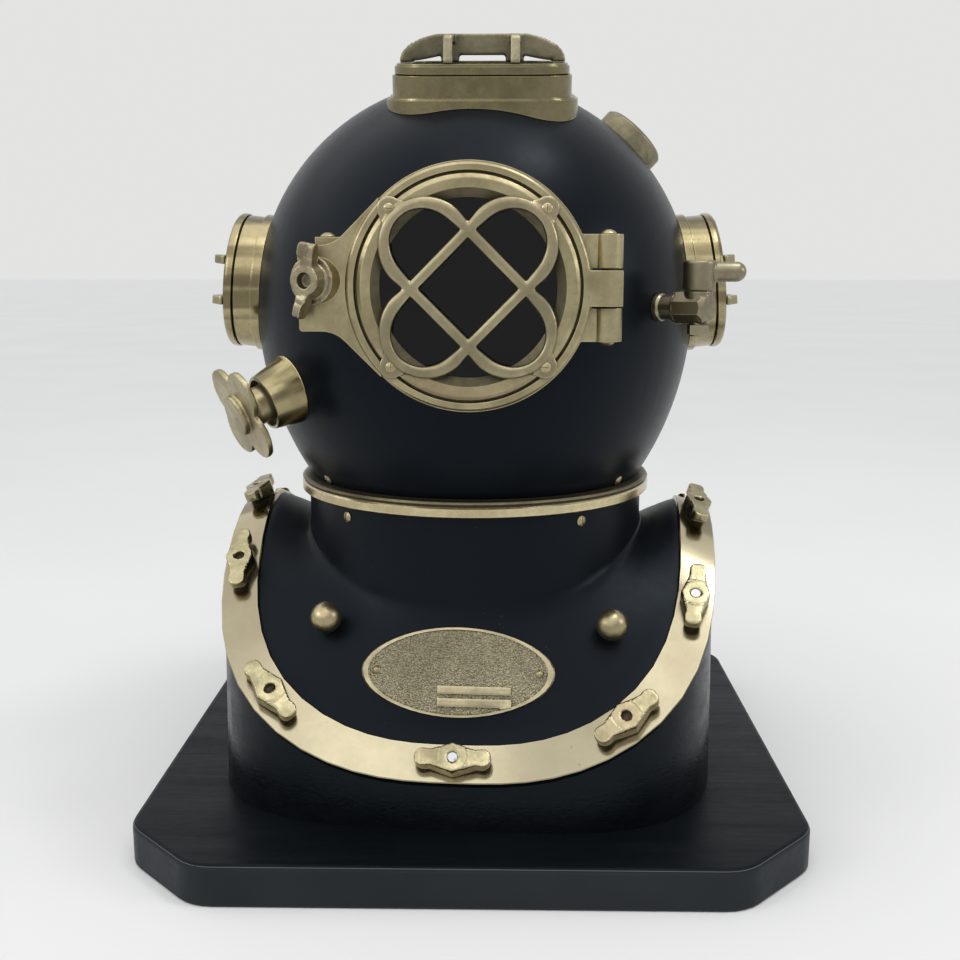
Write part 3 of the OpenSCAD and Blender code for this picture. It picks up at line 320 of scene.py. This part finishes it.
def black_paint(name, tone, gloss, dust=0.0, streaks=None, edge_wear=None,
                shine=0.12, wear_colour=(0.13, 0.14, 0.14), upright=None):
    """Black paint with faint clouding, dust and fine marks.

    streaks stretches the brush marks, edge_wear is the share of each
    edge that is rubbed, and upright is a lighter tone that the standing
    faces take: painted light, for the light that falls on them.
    """
    f = Finish(name)
    cloud = f.clouds(PAINT_CLOUD, 4, 0.55).over(0.3, 0.75)
    fine = f.clouds(PAINT_MIST, 4, 0.65).over(0.35, 0.7)
    colour = f.blend(cloud * 0.5, tone, times(tone, 1.5))
    rough = gloss + cloud * 0.07 + fine * 0.04
    small, large = PAINT_SKIN
    normal = f.bump(f.clouds(small, 3, 0.5) + f.clouds(large, 2, 0.5) * 2,
                    PAINT_DEPTH, 0.2)
    if streaks:
        narrow, wide = BRUSH_MARKS
        brush = f.clouds(narrow, 4, 0.6, stretch=streaks)
        broad = f.clouds(wide, 3, 0.55, stretch=streaks)
        marks = brush.over(0.3, 0.75)
        colour = f.blend(marks * 0.2, colour, times(tone, 2.0))
        rough = rough + broad.over(0.35, 0.7) * 0.1 + marks * 0.05
        normal = f.bump(brush + broad, BRUSH_DEPTH, 0.3, normal)
    # Painted light: the standing faces are made lighter, as if lit from the
    # front
    if upright:
        straight = f.add("ShaderNodeNewGeometry", out="Normal")
        level = abs(f.add("ShaderNodeSeparateXYZ", {}, {"Vector": straight},
                          "Z"))
        colour = f.blend((1 - level.over(0.3, 0.8)) * (0.75 + cloud * 0.25),
                         colour, upright)
    if dust:
        specks = f.cells(DUST_GAP)
        thin = f.clouds(DUST_PATCH, 3, 0.6).over(0.45, 0.75)
        specks = (1 - specks.over(0.02, 0.055)) * thin
        colour = f.blend(specks * dust, colour, PALE_DUST)
        rough = rough + specks * 0.3
    if edge_wear:
        rubbed = f.edges(RUBBED_EDGE) * f.clouds(RUBBED_PATCH, 5, 0.7).over(
            1 - edge_wear, 1.12 - edge_wear)
        colour = f.blend(rubbed * 0.8, colour, wear_colour)
        rough = rough + rubbed * 0.2
    return f.seal(Base_Color=colour, Roughness=rough, Normal=normal,
                  Specular_IOR_Level=shine, Specular_Tint=COLD_SHEEN)


def port_glass(name, shade_tint):
    f = Finish(name)
    smear = f.clouds(GLASS_SMEAR, 4, 0.6, stretch=(1, 1, 0.5)).over(
        0.45, 0.8)
    dust = (1 - f.cells(GLASS_SPECK).over(0.02, 0.05)) * smear
    colour = f.blend(dust * 0.2, shade_tint, GLASS_DUST)
    return f.seal(Base_Color=colour, Roughness=0.01 + smear * 0.04,
                  Transmission_Weight=1.0, IOR=GLASS_IOR,
                  Specular_IOR_Level=0.2)


def leather(name, dark, worn_brown):
    f = Finish(name)
    grain = f.cells(LEATHER_GRAIN)
    worn = f.clouds(LEATHER_WEAR, 4, 0.6).over(0.4, 0.7)
    colour = f.blend(worn * 0.6, dark, worn_brown)
    return f.seal(Base_Color=colour, Roughness=0.62 + worn * 0.2,
                  Normal=f.bump(grain, LEATHER_DEPTH, 0.6))


def zinc_steel(name, dark, light):
    f = Finish(name)
    spangle = f.cells(ZINC_SPANGLE, out="Color")
    tone = f.add("ShaderNodeSeparateColor", {}, {"Color": spangle}, "Red")
    rust = f.clouds(RUST_PATCH, 5, 0.7).over(0.56, 0.7)
    colour = f.blend(tone * 0.5, dark, light)
    colour = f.blend(rust * 0.6, colour, RUST)
    return f.seal(Base_Color=colour, Metallic=1.0 - rust * 0.5,
                  Roughness=0.35 + tone * 0.15 + rust * 0.3,
                  Normal=f.bump(tone, ZINC_DEPTH, 0.4))


# Finishes, as the photograph shows them

WHEEL_AXIS = JOINT_OF["exhaust_wheel"]["axis"]
LATCH_PLATE, LATCH_PLATE_REACH = (-0.088, -0.127, 0.382), 0.04

dome_paint = black_paint("dome_paint", (0.0038, 0.0052, 0.0074), 0.27,
                         shine=0.1)
chest_paint = black_paint("chest_paint", (0.0034, 0.0046, 0.0066), 0.32,
                          dust=0.3)
# The board's standing faces take a lighter tone, as painted light
board_paint = black_paint("board_paint", (0.0026, 0.0036, 0.0048), 0.3,
                          dust=0.15, streaks=(0.12, 1, 1), edge_wear=0.72,
                          shine=0.1, upright=(0.025, 0.029, 0.032))
plinth_paint = black_paint("plinth_paint", (0.0022, 0.003, 0.004), 0.17,
                           streaks=(1, 1, 2.2), shine=0.16)
fitting_brass = brass("fitting_brass", (0.42, 0.365, 0.215),
                      (0.205, 0.175, 0.1), 0.27)
guard_brass = brass("guard_brass", (0.35, 0.31, 0.191), (0.18, 0.159, 0.097),
                    0.27, shade_share=0.6, seed=0.31, rub_and_highlight=0.0024)
# Painted light: the neck ring's brass is a brighter, lit copy of the others,
# making up for the shade on the ring
lit_ring_brass = brass("lit_ring_brass", (0.60, 0.52, 0.32), (0.40, 0.34, 0.2),
                   0.16, shade_share=0.5, seed=0.83, blush=0.1)
port_brass = brass("port_brass", (0.43, 0.37, 0.21), (0.23, 0.19, 0.10),
                   0.15, shade_share=0.4, seed=0.83, blush=0.1,
                   grain={"stretch": (0.04, 0.04, 1)})
seat_brass = brass("seat_brass", (0.42, 0.365, 0.2), (0.21, 0.175, 0.09),
                   0.17, shade_share=0.35, seed=2.9, blush=0.1, marks=0.4,
                   grain={"drawn": WHEEL_AXIS})
lip_brass = brass("lip_brass", (0.18, 0.158, 0.1), (0.08, 0.07, 0.043),
                  0.34, seed=7.4, blush=0)
door_brass = brass("door_brass", (0.42, 0.365, 0.215), (0.205, 0.175, 0.1),
                   0.25, seed=0.4, warm=(LATCH_PLATE, LATCH_PLATE_REACH))
crown_brass = brass("crown_brass", (0.22, 0.196, 0.108),
                    (0.105, 0.093, 0.049), 0.2, seed=1.13)
strap_brass = brass("strap_brass", (0.33, 0.295, 0.2), (0.235, 0.206, 0.136),
                    0.13, shade_share=0.7, patches=0.09, seed=1.7, blush=0.35,
                    marks=0.25)
nut_brass = brass("nut_brass", (0.42, 0.375, 0.225), (0.19, 0.167, 0.1),
                  0.2, shade_share=0.8, cast=0.15, patches=0.016, seed=2.3,
                  rub_and_highlight=0.002)
latch_brass = brass("latch_brass", (0.32, 0.283, 0.185), (0.13, 0.112, 0.07),
                    0.3, shade_share=0.85, cast=0.9, patches=0.012, seed=3.1)
dark_brass = brass("dark_brass", (0.25, 0.225, 0.145), (0.12, 0.108, 0.07),
                   0.32, shade_share=0.85, cast=0.5, patches=0.02, seed=5.2)
valve_brass = brass("valve_brass", (0.29, 0.265, 0.175), (0.15, 0.136, 0.088),
                    0.3, seed=8.6)
plate_brass = brass("plate_brass", (0.42, 0.37, 0.235), (0.23, 0.20, 0.125),
                    0.28, shade_share=0.8, patches=0.02, seed=4.4)
plate_ground = pebbled_brass("plate_ground", (0.335, 0.3, 0.2),
                             (0.11, 0.097, 0.063))
shaded_brass = brass("shaded_brass", (0.12, 0.105, 0.066),
                     (0.06, 0.052, 0.032), 0.4, seed=6.1)
# Painted shade: the glass is tinted nearly black, for the dark inside of the
# helmet behind it
shaded_face_glass = port_glass("shaded_face_glass", (0.013, 0.015, 0.017))
gasket_leather = leather("gasket_leather", (0.022, 0.014, 0.009),
                         (0.06, 0.038, 0.022))
screw_steel = zinc_steel("screw_steel", (0.4, 0.41, 0.42),
                         (0.62, 0.63, 0.64))
stud_rust = brass("stud_rust", (0.09, 0.07, 0.05), (0.03, 0.022, 0.016), 0.5,
                  seed=9.2)

FINISHES = {
    dome_paint: ["bonnet_dome"],
    chest_paint: ["breastplate_shell"],
    board_paint: ["base_board"],
    plinth_paint: ["plinth"],
    strap_brass: ["rim_strap"],
    lit_ring_brass: ["neck_ring"],
    port_brass: ["side_frame_left", "side_frame_right", "side_ring_left",
                 "side_ring_right"],
    seat_brass: ["exhaust_body"],
    door_brass: ["door_frame"],
    lip_brass: ["bonnet_ring"],
    valve_brass: ["spitcock_body", "spitcock_lever", "spitcock_nut"],
    crown_brass: ["top_frame", "top_ring"],
    fitting_brass: ["neck_ring_screws", "bonnet_ring_screws", "ball_studs",
                    "nameplate_rivets", "door_seat", "hinge_pin",
                    "exhaust_wheel", "guard_screws", "glass_retainer",
                    "latch_pin"],
    guard_brass: ["door_guard", "side_guard_left", "side_guard_right"],
    dark_brass: ["top_guard", "air_boss"],
    nut_brass: NUTS,
    latch_brass: ["latch_screw"],
    plate_brass: ["nameplate"],
    shaded_face_glass: ["door_glass", "side_glass_left", "side_glass_right",
                 "top_glass"],
    gasket_leather: ["neck_washer", "door_seat_gasket", "door_gasket",
                     "port_gaskets"],
    screw_steel: ["stand_screws", "rim_studs"],
}
FINISH_OF = {node: material for material, nodes in FINISHES.items()
             for node in nodes}


def coat(piece, material):
    piece.data.materials.clear()
    piece.data.materials.append(material)


for node, material in FINISH_OF.items():
    coat(NODES[node], material)


# Ways to work a piece that stands for a CAD node

WELD = 0.02 * MM
FLAT_ANGLE = 0.5
SMOOTH_FACTOR = 0.5


def pick(*pieces):
    """Selects the pieces alone, the first as the active one."""
    bpy.ops.object.select_all(action="DESELECT")
    for piece in pieces:
        piece.select_set(True)
    bpy.context.view_layer.objects.active = pieces[0]


def modify(piece, kind, **settings):
    pick(piece)
    modifier = piece.modifiers.new(kind.lower(), kind)
    for name, value in settings.items():
        setattr(modifier, name, value)
    bpy.ops.object.modifier_apply(modifier=modifier.name)


def smooth_between(crease):
    bpy.ops.object.shade_smooth_by_angle(angle=math.radians(crease))


def even_out(piece, rounds):
    modify(piece, "SMOOTH", factor=SMOOTH_FACTOR, iterations=rounds)


def twin(node):
    """A copy of a CAD node with its loose triangles joined up."""
    mesh = NODES[node].data.copy()
    mesh.transform(NODES[node].matrix_world)
    piece = bpy.data.objects.new(node + "_dressed", mesh)
    bpy.context.scene.collection.objects.link(piece)
    pick(piece)
    bpy.ops.mesh.customdata_custom_splitnormals_clear()
    bpy.ops.object.mode_set(mode="EDIT")
    bpy.ops.mesh.select_all(action="SELECT")
    bpy.ops.mesh.remove_doubles(threshold=WELD)
    bpy.ops.mesh.normals_make_consistent(inside=False)
    bpy.ops.object.mode_set(mode="OBJECT")
    return piece


def stand_in(piece, *nodes):
    """Puts a finished piece in place of the nodes it was made from."""
    coat(piece, FINISH_OF[nodes[0]])
    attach(piece, BODY_OF[nodes[0]])
    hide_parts(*nodes)
    return piece


def smooth_sheet(node, crease=30):
    """Sheet metal and turned wood: smooth between its real edges."""
    piece = twin(node)
    smooth_between(crease)
    return stand_in(piece, node)


def machined(node, width=0.4, crease=34, segments=2):
    """Turned and filed work: every sharp edge broken by a small bevel.

    width is in millimetres, and crease the least angle of a sharp edge.
    """
    piece = twin(node)
    bpy.ops.object.mode_set(mode="EDIT")
    bpy.ops.mesh.select_all(action="SELECT")
    bpy.ops.mesh.dissolve_limited(angle_limit=math.radians(FLAT_ANGLE))
    bpy.ops.object.mode_set(mode="OBJECT")
    modify(piece, "BEVEL", width=width * MM, segments=segments,
           limit_method="ANGLE", angle_limit=math.radians(crease),
           use_clamp_overlap=False)
    smooth_between(crease)
    modify(piece, "WEIGHTED_NORMAL", keep_sharp=True)
    return stand_in(piece, node)


def cast(node, voxel, rounds):
    """Sand castings: soft all over, as if poured and then tumbled.

    voxel is the new mesh's cell in millimetres.
    """
    piece = twin(node)
    modify(piece, "REMESH", mode="VOXEL", voxel_size=voxel * MM)
    even_out(piece, rounds)
    bpy.ops.object.shade_smooth()
    return stand_in(piece, node)


def middle_of(node):
    low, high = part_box(node)
    return (Vector(low) + Vector(high)) / 2


def share_of(value, start, end):
    """0 up to start, 1 from end on, and the even share between them."""
    return min(max((value - start) / (end - start), 0), 1)


def between(ends, share):
    return ends[0] + (ends[1] - ends[0]) * share


# Sheet metal, wood and turned pieces

for node in ("breastplate_shell", "plinth", "rim_strap"):
    smooth_sheet(node)
turned_pieces = {node: machined(node) for node in (
    "door_frame", "door_seat", "glass_retainer", "spitcock_nut",
    "exhaust_body", "air_boss", "top_frame", "top_ring",
    "side_frame_left", "side_frame_right", "side_ring_left",
    "side_ring_right")}
machined("spitcock_body", 0.5)
machined("base_board", 1.6, segments=3)


# The retainer's inner slope stays dark, in the shade of the guard

SLOPE_RADIUS = 55.2 * MM
SLOPE_FACING = -0.97


def dark_slope(retainer):
    middle = middle_of("glass_retainer")
    retainer.data.materials.append(shaded_brass)
    for face in retainer.data.polygons:
        spot = face.center - middle
        if (math.hypot(spot.x, spot.z) < SLOPE_RADIUS
                and face.normal.y > SLOPE_FACING):
            face.material_index = 1


dark_slope(turned_pieces["glass_retainer"])


# Wing nuts, whose wings are thicker and flatter than the CAD's. Heights
# are above the nut's foot, and reaches run outwards from its axis. CAD_
# names a size of the CAD's nut, and NEW_ what the finished nut has there.

HUB_RADIUS, HUB_MARGIN = 8.5 * MM, 0.3 * MM
WING_TIP = 23.5 * MM
WING_MIDDLE = 6 * MM

# Tops of the wings, where they start to rise and where they end
CAD_RISE = (7.7 * MM, 19.5 * MM)
CAD_HUB_TOP = 8.4 * MM
CAD_WING_TOP = (7.5 * MM, 12.4 * MM)
NEW_WING_TOP = (10.2 * MM, 10.0 * MM)

# Undersides, which rise by this much from the hub to the tip
UNDERSIDE = 0.5 * MM
CAD_LIFT, NEW_LIFT = 4.5 * MM, 3.1 * MM

# Half widths, and how they change outwards
CAD_ROOT_HALF, CAD_NARROWS = 6.8 * MM, 2.5 * MM
CAD_WAIST, CAD_WAIST_HALF, CAD_FLARE = 9.35 * MM, 4.3 * MM, 0.155
NEW_ROOT_HALF, NEW_TAPER = 9.4 * MM, 0.31


def turning_frame(piece, node):
    """A turning piece's axis, and its points in a frame on that axis."""
    joint = JOINT_OF[node]
    foot, axis = Vector(joint["pos_m"]), Vector(joint["axis"]).normalized()
    if (axis.z < 0 if node in NUTS else axis.y > 0):
        axis = -axis
    spots = [v.co - foot for v in piece.data.vertices]
    flat = [spot - axis * spot.dot(axis) for spot in spots]
    along = max(flat, key=lambda spot: spot.length).normalized()
    return axis, along, spots, flat


def slide(height, was, now):
    """The height a point gets when the end at was goes to now."""
    return (WING_MIDDLE + (height - WING_MIDDLE) * (now - WING_MIDDLE)
            / (was - WING_MIDDLE))


def flank(reach):
    """How much wider the nut grows, for straight flanks from its hub."""
    hub = math.sqrt(max(HUB_RADIUS ** 2 - reach ** 2, 0))
    wing = (CAD_ROOT_HALF - CAD_NARROWS * reach / CAD_WAIST
            if reach < CAD_WAIST
            else CAD_WAIST_HALF + CAD_FLARE * (reach - CAD_WAIST))
    straight = NEW_ROOT_HALF - NEW_TAPER * reach
    return max(straight / max(hub, wing), 1)


def thick_wings(node):
    nut = cast(node, 0.6, 3)
    axis, along, spots, flat = turning_frame(nut, node)
    across = axis.cross(along)
    low = min(spot.dot(axis) for spot in spots)
    for vertex, spot, level in zip(nut.data.vertices, spots, flat):
        height = spot.dot(axis) - low
        reach = abs(level.dot(along))
        out = share_of(reach, HUB_RADIUS, WING_TIP)
        if height > WING_MIDDLE:
            rise = share_of(reach, *CAD_RISE)
            was = between(CAD_WING_TOP, rise)
            if level.length < HUB_RADIUS + HUB_MARGIN:
                was = max(was, CAD_HUB_TOP)
            new = slide(height, was, between(NEW_WING_TOP, rise))
        elif out > 0:
            new = slide(height, UNDERSIDE + CAD_LIFT * out,
                        UNDERSIDE + NEW_LIFT * out)
        else:
            new = height
        vertex.co += axis * (new - height)
        vertex.co += across * (level.dot(across) * (flank(reach) - 1))
    even_out(nut, 3)


for node in NUTS:
    thick_wings(node)


# The latch screw's wings, narrower and lower than the CAD's

LEAF_ROOT = (8 * MM, 13 * MM)
LEAF_HALF = 5.5 * MM
LEAF_DEPTH = 11.5 * MM
LEAF_NARROWER, LEAF_LOWER = 0.25, 0.42


def leaf_wings():
    screw = cast("latch_screw", 0.5, 5)
    axis, along, spots, flat = turning_frame(screw, "latch_screw")
    across = axis.cross(along)
    top = max(spot.dot(axis) for spot in spots)
    for vertex, spot, level in zip(screw.data.vertices, spots, flat):
        share = share_of(abs(level.dot(along)), *LEAF_ROOT)
        side, height = level.dot(across), spot.dot(axis) - top
        if share == 0 or abs(side) > LEAF_HALF or height < -LEAF_DEPTH:
            continue
        vertex.co -= across * (side * LEAF_NARROWER * share)
        vertex.co -= axis * ((height + LEAF_DEPTH) * LEAF_LOWER * share)
    even_out(screw, 3)


leaf_wings()
cast("exhaust_wheel", 0.7, 4)
cast("spitcock_lever", 0.6, 4)
for node in ("side_guard_left", "side_guard_right"):
    cast(node, 0.7, 5)


# Top guard, filled out to a round arch; its outer slots run to a point

TOP_LEAN = math.radians(11)
ARCH_START = 24 * MM
ARCH_FOOT = 2 * MM
SLOT_START, SLOT_END, SLOT_TOP = 25 * MM, 45 * MM, 4 * MM
WEB_HALF = 3 * MM


def crest_of(spots, middle, low):
    """The guard's height for each millimetre out from its middle."""
    crest = {}
    for spot in spots:
        mark = round(abs(spot.x - middle) / MM)
        crest[mark] = max(crest.get(mark, 0), spot.z - low)
    return crest


def round_arch():
    guard = cast("top_guard", 0.7, 4)
    upright = Matrix.Rotation(-TOP_LEAN, 3, "X")
    lean = upright.transposed()
    spots = [upright @ v.co for v in guard.data.vertices]
    ends = [spot.x for spot in spots]
    middle, half = (max(ends) + min(ends)) / 2, (max(ends) - min(ends)) / 2
    low = min(spot.z for spot in spots)
    high = max(spot.z for spot in spots) - low

    crest = crest_of(spots, middle, low)
    for vertex, spot in zip(guard.data.vertices, spots):
        out = abs(spot.x - middle)
        if out <= ARCH_START:
            continue
        share = share_of(out, ARCH_START, half)
        arch = ARCH_FOOT + (high - ARCH_FOOT) * math.sqrt(1 - share * share)
        line = crest[round(out / MM)]
        if arch > line:
            spot.z += (arch - line) * min((spot.z - low) / line, 1) ** 3
            vertex.co = lean @ spot

    web = sum(spot.y for spot in spots) / len(spots)
    crest = crest_of(spots, middle, low)
    for vertex, spot in zip(guard.data.vertices, spots):
        out, height = abs(spot.x - middle), spot.z - low
        if (not SLOT_START < out < SLOT_END
                or abs(spot.y - web) > WEB_HALF):
            continue
        sill = SLOT_TOP * (SLOT_END - out) / (SLOT_END - SLOT_START)
        if height < SLOT_TOP:
            spot.z = low + height * sill / SLOT_TOP
        else:
            line = crest[round(out / MM)]
            spot.z = low + line - (line - height) * (line - sill) / (
                line - SLOT_TOP)
        vertex.co = lean @ spot
    even_out(guard, 3)

    guard.data.materials.append(valve_brass)
    for face in guard.data.polygons:
        if abs((upright @ face.center).y - web) > WEB_HALF:
            face.material_index = 1


round_arch()


# Studs: two tips are bright steel, the others are dark and sunk

BRIGHT_TIPS = ("wing_nut_01", "wing_nut_03")
STUD_REACH = 5 * MM
TIP_DEPTH = 1.5 * MM
TIP_RISE = 2.2 * MM


def stud_tips():
    studs = stand_in(twin("rim_studs"), "rim_studs")
    studs.data.materials.append(stud_rust)
    for node in BRIGHT_TIPS:
        foot = Vector(JOINT_OF[node]["pos_m"])
        axis = Vector(JOINT_OF[node]["axis"]).normalized()
        axis = -axis if axis.z < 0 else axis
        tips = [v for v in studs.data.vertices
                if (v.co - foot).cross(axis).length < STUD_REACH]
        top = max((v.co - foot).dot(axis) for v in tips)
        for v in tips:
            if (v.co - foot).dot(axis) > top - TIP_DEPTH:
                v.co += axis * TIP_RISE
    nut_middles = {node: middle_of(node) for node in NUTS}
    for face in studs.data.polygons:
        near = min(NUTS, key=lambda n: (face.center - nut_middles[n]).length)
        if near not in BRIGHT_TIPS:
            face.material_index = 1


stud_tips()


# Door guard, whose bars and tabs are wider round the four lobes

GUARD_LOOPS = (45, 135)
GUARD_HALF = 22.7 * MM
GUARD_REACH = 32.9 * MM
GUARD_BAR = 3 * MM
GUARD_TAB = 8 * MM
LOBE_START = (25 * MM, 36 * MM)
BAR_WIDER, LOBE_WIDER = 0.12, 0.24


def lobed_guard():
    guard = cast("door_guard", 0.7, 2)
    middle = middle_of("door_glass")
    for vertex in guard.data.vertices:
        for turn in GUARD_LOOPS:
            along = Vector((math.cos(math.radians(turn)), 0,
                            math.sin(math.radians(turn))))
            across = Vector((-along.z, 0, along.x))
            spot = vertex.co - middle
            u, w = spot.dot(along), spot.dot(across)
            out = Vector((max(abs(u) - GUARD_REACH, 0), w))
            off = out.length - GUARD_HALF
            share = share_of(abs(u), *LOBE_START)
            if off < -GUARD_BAR or off > GUARD_TAB:
                continue
            if off > GUARD_BAR:
                off = GUARD_BAR * (GUARD_TAB - off) / (GUARD_TAB - GUARD_BAR)
                if share == 0:
                    continue
            swell = share * share * (3 - 2 * share)
            wider = off * (BAR_WIDER + LOBE_WIDER * swell)
            push = out.normalized() * wider
            vertex.co += along * math.copysign(push.x, u)
            vertex.co += across * push.y
    even_out(guard, 2)


lobed_guard()


# Nameplate: pebbled ground, plain rim and two blank bars, no lettering.
# The bars' places are millimetres across and up from the plate's middle.

PLATE_CREASE, BAR_CREASE = 35, 40
GROUND_SHARE, GROUND_FACING = 0.925, 0.5
BAR_ROWS = ((-13.6, -8.6), (-21.4, -16.2))
BAR_MIDDLE, BAR_LENGTH = 11, 46
BAR_START = 3
BAR_LIFT = 0.55 * MM
BAR_THICKNESS = 1.1 * MM
BAR_EDGE = 0.25 * MM


def plate_axes(plate):
    """The plate's middle, and its directions across, up and outwards."""
    outward = sum((f.normal * f.area for f in plate.data.polygons
                   if f.normal.y < 0), Vector()).normalized()
    across = outward.cross(Vector((0, 0, 1))).normalized() * -1
    up = across.cross(outward) * -1
    if up.z < 0:
        up = -up
    spots = [v.co for v in plate.data.vertices]
    middle = sum(spots, Vector()) / len(spots)
    return middle, across, up, outward


def blank_bar(plate, axes, low, high):
    middle, across, up, outward = axes
    bpy.ops.object.select_all(action="DESELECT")
    bpy.ops.mesh.primitive_grid_add(x_subdivisions=30, y_subdivisions=3,
                                    size=1)
    bar = bpy.context.object
    for v in bar.data.vertices:
        v.co = (middle + outward * BAR_START * MM
                + across * (BAR_MIDDLE + BAR_LENGTH * v.co.x) * MM
                + up * ((low + high) / 2 + (high - low) * v.co.y) * MM)
    modify(bar, "SHRINKWRAP", target=plate, offset=BAR_LIFT,
           wrap_method="NEAREST_SURFACEPOINT")
    modify(bar, "SOLIDIFY", thickness=BAR_THICKNESS, offset=0)
    modify(bar, "BEVEL", width=BAR_EDGE, segments=2,
           limit_method="ANGLE", angle_limit=math.radians(BAR_CREASE))
    return bar


def nameplate():
    plate = smooth_sheet("nameplate", PLATE_CREASE)
    axes = plate_axes(plate)
    middle, across, up, outward = axes
    half_l, half_h = (max(abs((v.co - middle).dot(way))
                          for v in plate.data.vertices)
                      for way in (across, up))
    plate.data.materials.append(plate_ground)
    for face in plate.data.polygons:
        spot = face.center - middle
        share = math.hypot(spot.dot(across) / half_l, spot.dot(up) / half_h)
        if (share < GROUND_SHARE
                and face.normal.dot(outward) > GROUND_FACING):
            face.material_index = 1
    bars = [blank_bar(plate, axes, low, high) for low, high in BAR_ROWS]
    pick(*bars)
    bpy.ops.object.join()
    bars[0].name = "nameplate_bars"
    smooth_between(PLATE_CREASE)
    coat(bars[0], plate_brass)
    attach(bars[0], BODY_OF["nameplate"])


nameplate()


# Floor, light and camera

FLOOR_SIZE, FLOOR_PATCH = 60, 0.5
SEEN_AIR = ((0.77, 0.77, 0.765, 1), 1.0)
LIT_AIR = ((0.9, 0.92, 0.95, 1), 0.36)
SOFTBOXES = (
    # name, place and size in metres, watts
    ("left_softbox", (-1.5, -0.9, 1.0), 0.5, 3),
    ("right_softbox", (1.6, -0.5, 0.9), 0.5, 4),
    ("overhead_softbox", (0.1, -0.6, 1.8), 0.8, 2.5),
    ("upper_softbox", (0.54, -0.21, 1.64), 0.3, 3))
SOFTBOX_AIM = (0, 0, 0.27)
WINDOW_PLACE = (-0.9, -0.8, 2.4)
WINDOW_POWER, WINDOW_ANGLE = 1.7, 110
EYE = (0.0184, -0.8118, 0.365)
EYE_TILT, EYE_TURN = 79.38, 1.05
EYE_LENS = 42.825
EYE_CLIP = (0.05, 50)


def studio_floor():
    bpy.ops.object.select_all(action="DESELECT")
    bpy.ops.mesh.primitive_plane_add(size=FLOOR_SIZE, location=(0, 0, 0))
    floor = bpy.context.object
    floor.name = "studio_floor"
    f = Finish("studio_floor")
    tone = f.clouds(FLOOR_PATCH, 3, 0.5).over(0.2, 0.8)
    f.seal(Base_Color=f.blend(tone, (0.83, 0.83, 0.82), (0.86, 0.86, 0.85)),
           Roughness=0.8)
    coat(floor, f.material)


def studio_air():
    """A pale backdrop to look at, and a dimmer one that lights."""
    world = bpy.data.worlds.new("studio_air")
    bpy.context.scene.world = world
    world.use_nodes = True
    tree = world.node_tree
    tree.nodes.clear()
    out = tree.nodes.new("ShaderNodeOutputWorld")
    seen, lit = (tree.nodes.new("ShaderNodeBackground") for _ in range(2))
    for air, (colour, strength) in ((seen, SEEN_AIR), (lit, LIT_AIR)):
        air.inputs["Color"].default_value = colour
        air.inputs["Strength"].default_value = strength
    path = tree.nodes.new("ShaderNodeLightPath")
    either, any_of = (tree.nodes.new("ShaderNodeMath") for _ in range(2))
    either.operation = any_of.operation = "MAXIMUM"
    share = tree.nodes.new("ShaderNodeMixShader")
    link = tree.links.new
    link(path.outputs["Is Camera Ray"], either.inputs[0])
    link(path.outputs["Is Glossy Ray"], either.inputs[1])
    link(either.outputs[0], any_of.inputs[0])
    link(path.outputs["Is Transmission Ray"], any_of.inputs[1])
    link(any_of.outputs[0], share.inputs[0])
    link(lit.outputs[0], share.inputs[1])
    link(seen.outputs[0], share.inputs[2])
    link(share.outputs[0], out.inputs["Surface"])


def aim(lamp, target):
    toward = Vector(target) - lamp.location
    lamp.rotation_euler = toward.to_track_quat("-Z", "Y").to_euler()


def studio_lamps():
    for name, place, size, power in SOFTBOXES:
        bpy.ops.object.light_add(type="AREA", location=place)
        lamp = bpy.context.object
        lamp.name = name
        lamp.data.size = size
        lamp.data.energy = power
        aim(lamp, SOFTBOX_AIM)
    bpy.ops.object.light_add(type="SUN", location=WINDOW_PLACE)
    sun = bpy.context.object
    sun.name = "high_window"
    sun.data.energy = WINDOW_POWER
    sun.data.angle = math.radians(WINDOW_ANGLE)
    aim(sun, (0, 0, 0))


def photo_view():
    sight = bpy.data.cameras.new("photo_view")
    sight.lens = EYE_LENS
    sight.clip_start, sight.clip_end = EYE_CLIP
    eye = bpy.data.objects.new("photo_view", sight)
    bpy.context.scene.collection.objects.link(eye)
    eye.location = EYE
    eye.rotation_euler = (math.radians(EYE_TILT), 0, math.radians(EYE_TURN))
    bpy.context.scene.camera = eye


studio_floor()
studio_air()
studio_lamps()
photo_view()
bpy.context.scene.view_settings.view_transform = "Standard"
